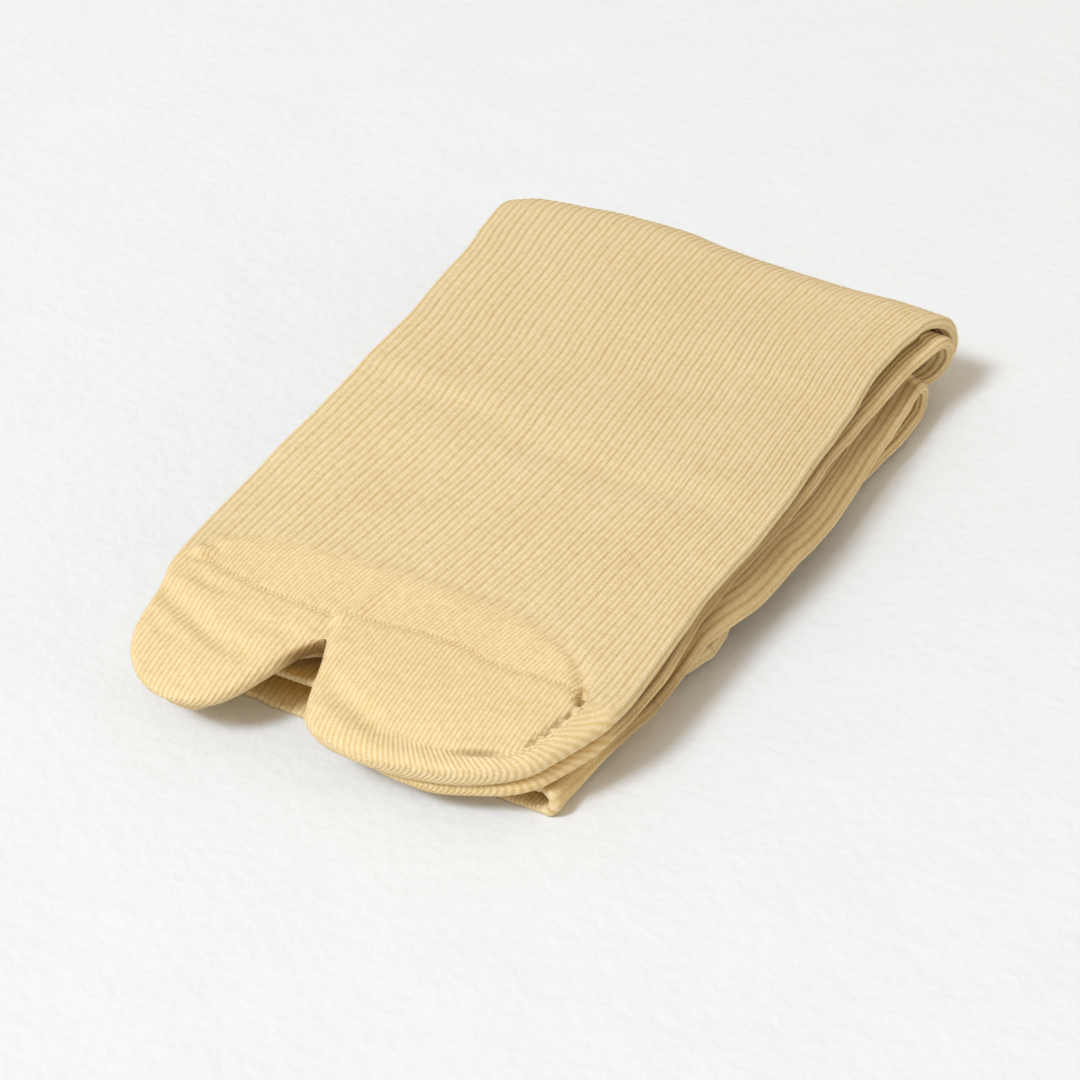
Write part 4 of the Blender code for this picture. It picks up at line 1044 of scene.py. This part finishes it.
def build_welt(sock, material):
    """The doubled welt of the cuff: a little thicker, dense on both faces."""
    cols = Columns(lambda k: True, lambda k: True, sock.seed)
    y = stations(sock.welt_from, sock.cuff_end, [(-99.0, 1.5)])
    vals = Path.arm_values(sock.leg_table, y, -1.0)
    v = {k: a[:, None] for k, a in vals.items()}
    length = np.abs(y - y[0])[:, None]
    left = length[-1] - length
    v["s"] = sock.path.s[-1] + length
    near_shift, far_shift = sock.edge_shift(v["s"])
    v["near"], v["far"] = v["near"] + near_shift, v["far"] + far_shift
    shape = (len(y), cols.n)
    v = {k: np.broadcast_to(a, shape) for k, a in v.items()}
    n4 = sock.noise[3]
    sag = 0.40 * n4(cols.u / 9.0 + 3.0, 2.2) + 0.14 * n4(cols.u / 2.5, 8.0)
    v["y"] = v["y"] - sag * ease((length - 12.0) / 10.0)
    if not sock.upper:
        over = np.where(cols.seg == BOTTOM, 1.0, np.where(cols.seg == TOP, 0.0, (1 - np.sin(cols.a)) / 2))
        middle = ease((1 - cols.q) / 0.10) * ease(cols.q / 0.16)
        v["y"] = v["y"] + over * (0.5 + 2.6 * np.where(cols.seg == BOTTOM, middle, 0)) * ease((length - 6.0) / 17.0)
    v["first"] = np.zeros(shape, bool)
    v["last"] = ~v["first"]
    lip = np.exp(-(left / 1.1) ** 2)
    start = np.exp(-((length - 1.0) / 0.7) ** 2)
    thick = 0.12 * ease(length / 0.9) + 0.14 * lip + 0.07 * start
    outer, outer_masks = sock.skin(v, cols, ribs=1 - 0.55 * lip, extra=thick)
    inner, _ = sock.skin(v, cols, inset=1.15, ribs=-0.5)
    rolls = []
    for k in (1, 2, 3):
        a = PI * k / 4
        mid, span = (outer[-1] + inner[-1]) / 2, (outer[-1] - inner[-1]) / 2
        out = np.array([0.0, -1.0, 0.0]) * np.linalg.norm(span, axis=1, keepdims=True) * 0.9
        rolls.append(mid + span * math.cos(a) + out * math.sin(a))
    n_cols = cols.n
    stack = np.vstack([outer, np.array(rolls), inner[::-1]])
    rows_total = stack.shape[0]
    points = stack.reshape(-1, 3)
    points[:, 2] = np.maximum(points[:, 2], 0.02 * MM)
    s0 = v["s"][:, 0]
    s_rows = np.concatenate([s0, s0[-1] + np.array([0.3, 0.6, 0.9]), s0[-1] + 1.2 + (s0[-1] - s0[::-1])])
    knit = loop_uv(cols.u, s_rows[:, None] / 0.72, rows_total, N_ALL)
    ring_a, ring_b = np.arange(n_cols), (rows_total - 1) * n_cols + np.arange(n_cols)
    close = np.stack([ring_b, ring_a, np.roll(ring_a, -1), np.roll(ring_b, -1)], -1)
    zero = np.zeros((n_cols, 4, 2))
    inward = ease(np.arange(rows_total - len(y) - 3) / 3.0)[:, None]
    x = points[:, 0].reshape(rows_total, n_cols) / MM
    # painted shade: a little on the welt's inner faces, and on its outer face under the layer above
    inside = np.zeros((rows_total, n_cols))
    inside[len(y) + 3:] = 0.12 * inward
    inside[:len(y)] = outer_masks["painted_shade"]
    # painted golden bounce light on the welt's inner faces
    painted_bounce = np.zeros((rows_total, n_cols))
    painted_bounce[len(y) + 3:] = inward
    if not sock.upper:
        fade = ease(length / 20.0)      # no step in tone where the welt joins the leg
        # on the lower welt's outer face: painted shade toward the near side, and painted golden bounce light
        # strongest under the toes near x = -10
        inside[:len(y)] = np.maximum(inside[:len(y)], 0.10 * fade * ease((x[:len(y)] - 15.0) / 15.0))
        painted_bounce[:len(y)] = fade * (0.22 + 0.50 * np.exp(-((x[:len(y)] + 10.0) / 16.0) ** 2))
    masks = dict(rib=np.ones(len(points)), cap=np.zeros(len(points)),
                 painted_shade=inside.ravel(), painted_bounce=painted_bounce.ravel())
    return make_object(sock.name + "_cuff_welt", points, np.vstack([grid(rows_total, n_cols), close]),
                       np.vstack([knit, zero]), np.vstack([knit, zero]), masks, None, material)


# ------------------------------------------------------------------- stitches
def beads(name, centres, axes, normals, lengths, radii, material):
    """Small closed spindles of yarn, joined in one mesh."""
    sides, rings = 6, 4
    pts, faces, count = [], [], 0
    for c, t, n, length, radius in zip(centres, axes, normals, lengths, radii):
        t = t / np.linalg.norm(t)
        n = n - t * np.dot(n, t)
        n = n / np.linalg.norm(n)
        b = np.cross(t, n)
        local = [c - t * length / 2]
        for k in range(1, rings + 1):
            a = PI * k / (rings + 1)
            r = radius * math.sin(a) ** 0.6
            centre = c - t * math.cos(a) * length / 2
            for j in range(sides):
                g = 2 * PI * (j + 0.5 * (k % 2)) / sides
                local.append(centre + (n * math.cos(g) + b * math.sin(g)) * r)
        local.append(c + t * length / 2)
        pts += local
        for j in range(sides):
            m = (j + 1) % sides
            faces.append((count, count + 1 + m, count + 1 + j, count + 1 + j))
            for k in range(rings - 1):
                p = count + 1 + k * sides
                faces.append((p + j, p + m, p + sides + m, p + sides + j))
            p = count + 1 + (rings - 1) * sides
            faces.append((p + j, p + m, count + 1 + rings * sides, count + 1 + rings * sides))
        count += len(local)
    points, faces = np.array(pts), np.array(faces)
    zero = np.zeros((len(faces), 4, 2)) + np.array([1 / 3, 0.2])
    masks = dict(rib=np.zeros(len(points)), cap=np.zeros(len(points)), painted_shade=np.zeros(len(points)))
    return make_object(name, points, faces, zero, zero, masks, None, material)


def build_stitches(sock, seam_line, outer, material):
    """The linked seam, and on the upper sock the teeth of the mitre."""
    line, normals = seam_line
    x = line[:, 0] / MM + CENTRE_X
    rnd = np.random.RandomState(sock.seed + 7)
    keep = (x > -38.0) & (x < 31.0)
    line, normals = line[keep], normals[keep]
    s = np.concatenate([[0], np.cumsum(np.linalg.norm(np.diff(line, axis=0), axis=1))]) / MM
    at = np.arange(0.4, s[-1] - 0.3, 0.80) + rnd.uniform(-0.08, 0.08, len(np.arange(0.4, s[-1] - 0.3, 0.80)))
    pos = np.stack([np.interp(at, s, line[:, k]) for k in range(3)], -1)
    nor = np.stack([np.interp(at, s, normals[:, k]) for k in range(3)], -1)
    nxt = np.stack([np.interp(at + 0.4, s, line[:, k]) for k in range(3)], -1)
    t = nxt - pos
    t /= np.linalg.norm(t, axis=1, keepdims=True)
    side = np.cross(nor, t)
    lean = rnd.uniform(0.15, 0.55, len(at))[:, None]
    axes = t + side * lean
    centres = pos + nor * (0.07 + rnd.uniform(-0.03, 0.05, len(at)))[:, None] * MM
    lengths = list(rnd.uniform(0.55, 0.70, len(at)) * MM)
    radii = list(rnd.uniform(0.13, 0.17, len(at)) * MM)
    centres, axes, nor = list(centres), list(axes), list(nor)
    if sock.upper:
        pts, nrm = outer
        fx, fy, fz = pts[:, 0] / MM + CENTRE_X, pts[:, 1] / MM + CENTRE_Y, pts[:, 2] / MM
        cand = np.flatnonzero((fz > 9.8) & (nrm[:, 2] > 0.2))
        cx, cy = fx[cand], fy[cand]

        def surface(px, py):
            k = cand[np.argmin((cx - px) ** 2 + (cy - py) ** 2)]
            return pts[k] + np.array([(px - fx[k]) * MM, (py - fy[k]) * MM, 0]), nrm[k]
        m = np.array(MITRE)
        seg = np.linalg.norm(np.diff(m, axis=0), axis=1)
        start = np.concatenate([[0], np.cumsum(seg)])
        for g in np.arange(4.4, start[-1] - 7.6, 0.95):
            g = g + rnd.uniform(-0.08, 0.08)
            k = min(np.searchsorted(start, g) - 1, len(seg) - 1)
            d = (m[k + 1] - m[k]) / seg[k]
            out = np.array([-d[1], d[0]])
            here = m[k] + d * (g - start[k])
            off = 0.45 + rnd.uniform(-0.12, 0.16)
            p, n = surface(*(here + out * off))
            turn = np.interp(g, [0, 9, 16, 25], [2.2, 1.2, 0.4, 0.0])
            ax = out - d * turn
            centres.append(p + n * 0.06 * MM)
            axes.append(np.array([ax[0], ax[1], 0.0]) - n * np.dot([ax[0], ax[1], 0.0], n))
            nor.append(n)
            lengths.append(rnd.uniform(0.95, 1.30) * MM)
            radii.append(rnd.uniform(0.22, 0.28) * MM)
    return beads(sock.name + "_stitches", centres, axes, nor, lengths, radii, material)


# ------------------------------------------------------------------ materials
def nodes_of(mat):
    mat.use_nodes = True
    tree = mat.node_tree
    return tree, tree.nodes["Principled BSDF"]


class Nodes:
    """Small helper that adds and links shader nodes."""

    def __init__(self, tree):
        self.tree = tree

    def add(self, kind, **inputs):
        node = self.tree.nodes.new(kind)
        for key, value in inputs.items():
            setattr(node, key, value)
        return node

    def link(self, a, b):
        self.tree.links.new(a, b)

    def math(self, op, a, b=None, c=None, clamp=False):
        node = self.add("ShaderNodeMath", operation=op, use_clamp=clamp)
        for k, v in enumerate((a, b, c)):
            if v is None:
                continue
            if isinstance(v, (int, float)):
                node.inputs[k].default_value = v
            else:
                self.link(v, node.inputs[k])
        return node.outputs[0]

    def step(self, x, lo, hi):
        node = self.add("ShaderNodeMapRange", interpolation_type="SMOOTHSTEP")
        self.link(x, node.inputs["Value"])
        node.inputs["From Min"].default_value = lo
        node.inputs["From Max"].default_value = hi
        return node.outputs["Result"]

    def mix(self, f, a, b):
        node = self.add("ShaderNodeMix", data_type="FLOAT")
        for k, v in ((0, f), (2, a), (3, b)):
            if isinstance(v, (int, float)):
                node.inputs[k].default_value = v
            else:
                self.link(v, node.inputs[k])
        return node.outputs[0]

    def colour(self, f, a, b, blend="MIX"):
        node = self.add("ShaderNodeMix", data_type="RGBA", blend_type=blend)
        for k, v in ((0, f), (6, a), (7, b)):
            if isinstance(v, (int, float)):
                node.inputs[k].default_value = v
            elif isinstance(v, tuple):
                node.inputs[k].default_value = v
            else:
                self.link(v, node.inputs[k])
        return node.outputs[2]


RIDGE_COLOUR = (0.855, 0.688, 0.410, 1.0)
# the tone of the rib grooves: painted shade
GROOVE_SHADE_COLOUR = (0.655, 0.452, 0.175, 1.0)


def knit_material(name, tone):
    """Cotton knit: V stitches on the ribs, finer wales where it is plain; shade and bounce light are painted into
    its colour.
    """
    mat = bpy.data.materials.new(name)
    tree, bsdf = nodes_of(mat)
    n = Nodes(tree)
    place = n.add("ShaderNodeTexCoord").outputs["Object"]

    warp = n.add("ShaderNodeTexNoise")
    warp.inputs["Scale"].default_value = 520.0
    warp.inputs["Detail"].default_value = 1.0
    n.link(place, warp.inputs["Vector"])
    wander = n.math("MULTIPLY_ADD", warp.outputs["Fac"], 1.3, -0.65)

    def wales(layer, scale_u, slant, shift=0.0):
        uv = n.add("ShaderNodeUVMap", uv_map=layer)
        sep = n.add("ShaderNodeSeparateXYZ")
        n.link(uv.outputs["UV"], sep.inputs[0])
        u, v = sep.outputs["X"], sep.outputs["Y"]
        if scale_u != 1.0 or shift:
            u = n.math("MULTIPLY_ADD", u, scale_u, shift)
        fract = n.math("FRACT", u)
        side = n.math("ABSOLUTE", n.math("MULTIPLY_ADD", fract, 2.0, -1.0))   # 1 in the groove
        chance = n.add("ShaderNodeTexWhiteNoise", noise_dimensions="1D")
        n.link(n.math("FLOOR", u), chance.inputs["W"])
        phase = n.math("ADD", v, n.math("MULTIPLY", side, slant))
        phase = n.math("ADD", phase, chance.outputs["Value"])
        phase = n.math("ADD", phase, wander)
        stitch = n.math("MULTIPLY_ADD", n.math("SINE", n.math("MULTIPLY", phase, 2 * PI)), 0.5, 0.5)
        pair = n.math("LESS_THAN", n.math("FRACT", n.math("MULTIPLY_ADD", u, 0.5, 0.25)), 0.5)
        return side, stitch, pair

    cap = n.add("ShaderNodeAttribute", attribute_name="cap").outputs["Fac"]
    rib = n.add("ShaderNodeAttribute", attribute_name="rib").outputs["Fac"]
    painted_shade = n.add("ShaderNodeAttribute", attribute_name="painted_shade").outputs["Fac"]
    # painted golden bounce light
    painted_bounce = n.add("ShaderNodeAttribute", attribute_name="painted_bounce").outputs["Fac"]   # only on the cuff welts
    r_side, r_stitch, r_pair = wales("knit", 1.0, 0.45)
    b_side, b_stitch, _ = wales("knit", 1.5, 0.40)
    c_side, c_stitch, _ = wales("plain", 1.0, 0.45)

    fibre = n.add("ShaderNodeTexNoise")
    fibre.inputs["Scale"].default_value = 2600.0
    fibre.inputs["Detail"].default_value = 2.0
    n.link(place, fibre.inputs["Vector"])
    fleck = n.add("ShaderNodeTexNoise")
    fleck.inputs["Scale"].default_value = 900.0
    fleck.inputs["Detail"].default_value = 3.0
    n.link(place, fleck.inputs["Vector"])
    cloud = n.add("ShaderNodeTexNoise")
    cloud.inputs["Scale"].default_value = 70.0
    cloud.inputs["Detail"].default_value = 2.0
    n.link(place, cloud.inputs["Vector"])

    # height of the stitches, in units of the bump distance
    def knit_height(side, stitch, groove_from, stitch_share, groove_share):
        crown = n.math("SUBTRACT", 1.0, n.step(side, groove_from, 1.0))
        a = n.math("MULTIPLY", n.math("MULTIPLY", stitch, crown), stitch_share)
        return n.math("ADD", a, n.math("MULTIPLY", crown, groove_share))
    h_rib = knit_height(r_side, r_stitch, 0.30, 0.32, 0.30)
    h_band = knit_height(b_side, b_stitch, 0.10, 0.24, 0.62)
    h_cap = knit_height(c_side, c_stitch, 0.10, 0.28, 0.70)
    h = n.mix(rib, h_band, h_rib)
    h = n.mix(cap, h, h_cap)
    h = n.math("ADD", h, n.math("MULTIPLY", fibre.outputs["Fac"], 0.80))
    h = n.math("ADD", h, n.math("MULTIPLY", fleck.outputs["Fac"], 0.70))
    bump = n.add("ShaderNodeBump")
    bump.inputs["Strength"].default_value = 0.85
    bump.inputs["Distance"].default_value = 0.00016
    n.link(h, bump.inputs["Height"])
    n.link(bump.outputs["Normal"], bsdf.inputs["Normal"])

    # colour: painted shade deepens the tone in the grooves and a little between the stitches; fleck and cloud vary
    # the tone at random
    deep_rib = n.math("MULTIPLY", n.step(r_side, 0.40, 1.0), n.mix(r_pair, 0.56, 0.80))
    deep_band = n.math("MULTIPLY", n.step(b_side, 0.15, 1.0), 0.72)
    deep_cap = n.math("MULTIPLY", n.step(c_side, 0.15, 1.0), 0.72)
    deep = n.mix(cap, n.mix(rib, deep_band, deep_rib), deep_cap)
    gap = n.mix(cap, n.mix(rib, b_stitch, r_stitch), c_stitch)
    gap = n.math("MULTIPLY", n.math("SUBTRACT", 1.0, gap), 0.26)
    deep = n.math("ADD", n.math("MULTIPLY", deep, 0.80), gap)
    deep = n.math("ADD", deep, n.math("MULTIPLY_ADD", fleck.outputs["Fac"], 0.90, -0.45))
    deep = n.math("ADD", deep, n.math("MULTIPLY_ADD", cloud.outputs["Fac"], 0.30, -0.15), clamp=True)
    base = n.colour(deep, RIDGE_COLOUR, GROOVE_SHADE_COLOUR)
    # painted shade: ribbed cloth a little deeper, for the shade between its ribs
    base = n.colour(rib, base, n.colour(1.0, base, (0.905, 0.92, 0.955, 1.0), "MULTIPLY"))
    # a tone multiplier: the lower sock's copy is painted deeper and yellower, as painted shade and bounce light
    base = n.colour(1.0, base, tone, "MULTIPLY")
    # painted golden bounce light where the attribute is set
    base = n.colour(painted_bounce, base, n.colour(1.0, base, (1.08, 0.93, 0.52, 1.0), "MULTIPLY"))
    # painted shade: a deep brown in crevices, holes and under the layer above
    base = n.colour(painted_shade, base, (0.245, 0.128, 0.032, 1.0))
    n.link(base, bsdf.inputs["Base Color"])
    bsdf.inputs["Roughness"].default_value = 0.92
    bsdf.inputs["Specular IOR Level"].default_value = 0.15
    bsdf.inputs["Sheen Weight"].default_value = 0.15
    bsdf.inputs["Sheen Roughness"].default_value = 0.50
    bsdf.inputs["Sheen Tint"].default_value = (1.0, 0.93, 0.76, 1.0)
    return mat


def rib_stack():
    upper = [
        ("arm", [(-30.0, 0.70), (-20.0, 1.10), (50.0, 1.75), (70.0, 1.5)], UPPER_FOOT),
        ("turn", (TURN_Y, LEVEL["upper_foot"], LEVEL["upper_under"], 9.7, 1, 20), UPPER_TURN),
        ("arm", [(-99.0, 3.0)], UPPER_UNDER),
        ("turn", (UNDER_TURN_Y, LEVEL["upper_under"], LEVEL["upper_back"], 3.6, -1, 7), UPPER_HIDDEN),
        ("arm", [(99.0, 4.0)], UPPER_BACK),
        ("turn", (NEST_TURN_Y, LEVEL["upper_back"], LEVEL["upper_leg"], 1.3, 1, 5), UPPER_NEST),
        ("arm", [(-99.0, 3.2)], UPPER_LEG)]
    lower = [
        ("arm", [(-30.0, 1.4), (70.0, 2.2)], LOWER_FOOT),
        ("turn", (TURN_Y, LEVEL["lower_foot"], LEVEL["lower_under"], 7.2, 1, 18), LOWER_TURN),
        ("arm", [(-99.0, 3.0)], LOWER_UNDER),
        ("turn", (TUCK_TURN_Y, LEVEL["lower_under"], LEVEL["lower_back"], 1.3, -1, 5), LOWER_HIDDEN),
        ("arm", [(99.0, 2.6)], LOWER_BACK),
        ("turn", (INNER_TURN_Y, LEVEL["lower_back"], LEVEL["lower_leg"], 3.9, 1, 12), LOWER_NEST),
        ("arm", [(-99.0, 2.4)], LOWER_LEG)]
    return upper, lower


knit_upper = knit_material("cotton_knit_upper", (1.0, 1.0, 1.0, 1.0))
# the lower sock's copy of the cloth: painted shade, a deeper and yellower tone for lying under the upper sock
knit_lower_shaded = knit_material("cotton_knit_lower", (1.0, 0.975, 0.92, 1.0))

upper_path, lower_path = rib_stack()
sock_a = Sock("upper", upper_path, UPPER_BIG_TOE, UPPER_FOUR_TOES, (-9.6, -51.0),
              lambda k: True, lambda k: k < 7 or k > N_FLAT - 6, 11, -14.0, -38.0, True)
sock_b = Sock("lower", lower_path, LOWER_BIG_TOE, LOWER_FOUR_TOES, (-11.2, -49.0),
              lambda k: k < 12 or k > N_FLAT - 9, lambda k: k < 16 or k > N_FLAT - 9, 23,
              -31.5, -55.8, False)

for sock, node, material in ((sock_a, "sock_upper", knit_upper), (sock_b, "sock_lower", knit_lower_shaded)):
    tube, pockets, seam_line, outer = build_sock(sock, material)
    welt = build_welt(sock, material)
    stitches = build_stitches(sock, seam_line, outer, material)
    for piece in (tube, pockets, welt, stitches):
        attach(piece, "root")
        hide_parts(node)


# -------------------------------------------------------------------- staging
def make_floor():
    mesh = bpy.data.meshes.new("floor")
    size = 3.0
    mesh.from_pydata([(-size, -size, 0), (size, -size, 0), (size, size, 0), (-size, size, 0)],
                     [], [(0, 1, 2, 3)])
    obj = bpy.data.objects.new("floor", mesh)
    bpy.context.scene.collection.objects.link(obj)
    mat = bpy.data.materials.new("floor_plaster")
    tree, bsdf = nodes_of(mat)
    n = Nodes(tree)
    place = n.add("ShaderNodeTexCoord").outputs["Object"]
    grain = n.add("ShaderNodeTexNoise")
    grain.inputs["Scale"].default_value = 420.0
    grain.inputs["Detail"].default_value = 5.0
    n.link(place, grain.inputs["Vector"])
    slow = n.add("ShaderNodeTexNoise")
    slow.inputs["Scale"].default_value = 55.0
    slow.inputs["Detail"].default_value = 3.0
    n.link(place, slow.inputs["Vector"])
    h = n.math("ADD", grain.outputs["Fac"], n.math("MULTIPLY", slow.outputs["Fac"], 2.0))
    bump = n.add("ShaderNodeBump")
    bump.inputs["Strength"].default_value = 0.35
    bump.inputs["Distance"].default_value = 0.0006
    n.link(h, bump.inputs["Height"])
    n.link(bump.outputs["Normal"], bsdf.inputs["Normal"])
    base = n.colour(slow.outputs["Fac"], (0.768, 0.790, 0.812, 1.0), (0.798, 0.820, 0.842, 1.0))
    n.link(base, bsdf.inputs["Base Color"])
    bsdf.inputs["Roughness"].default_value = 0.9
    bsdf.inputs["Specular IOR Level"].default_value = 0.2
    mesh.materials.append(mat)
    return obj


def aim(obj, target):
    from mathutils import Vector
    d = Vector(target) - obj.location
    obj.rotation_euler = d.to_track_quat("-Z", "Y").to_euler()


def area_light(name, place, target, size, power, colour):
    data = bpy.data.lights.new(name, "AREA")
    data.shape = "DISK"
    data.size = size
    data.energy = power
    data.color = colour
    obj = bpy.data.objects.new(name, data)
    bpy.context.scene.collection.objects.link(obj)
    obj.location = place
    aim(obj, target)
    return obj


make_floor()
az, el, dist = math.radians(28.8), math.radians(39.6), 0.40869
centre = (-0.0005, -0.0036, 0.0)
ground = dist * math.cos(el)
cam_data = bpy.data.cameras.new("camera")
cam_data.lens = 80.0
cam_data.sensor_width = 36.0
cam_data.sensor_fit = "AUTO"
cam_data.clip_start = 0.01
cam_data.dof.use_dof = False
cam = bpy.data.objects.new("camera", cam_data)
bpy.context.scene.collection.objects.link(cam)
cam.location = (centre[0] + ground * math.sin(az), centre[1] - ground * math.cos(az),
                dist * math.sin(el))
aim(cam, centre)
bpy.context.scene.camera = cam

# picture directions on the ground: right and away
right = np.array([math.cos(az), math.sin(az)])
away = np.array([-math.sin(az), math.cos(az)])


def from_view(r, a, h):
    g = np.array(centre[:2]) + right * r + away * a
    return (g[0], g[1], h)


area_light("key", from_view(-2.11, -1.47, 3.06), centre, 0.85, 85.0, (0.865, 0.945, 1.055))
area_light("key_soft", from_view(-2.13, -1.48, 3.09), centre, 1.90, 50.0, (0.865, 0.945, 1.055))
area_light("side_fill", from_view(2.30, -1.10, 0.62), centre, 1.60, 8.5, (1.0, 0.93, 0.80))
world = bpy.data.worlds.new("soft_room")
bpy.context.scene.world = world
world.use_nodes = True
bg = world.node_tree.nodes["Background"]
bg.inputs["Color"].default_value = (1.0, 0.87, 0.69, 1.0)
bg.inputs["Strength"].default_value = 0.58
scene = bpy.context.scene
scene.view_settings.view_transform = "Standard"
scene.view_settings.look = "None"
scene.view_settings.exposure = 0.0
scene.view_settings.gamma = 1.0
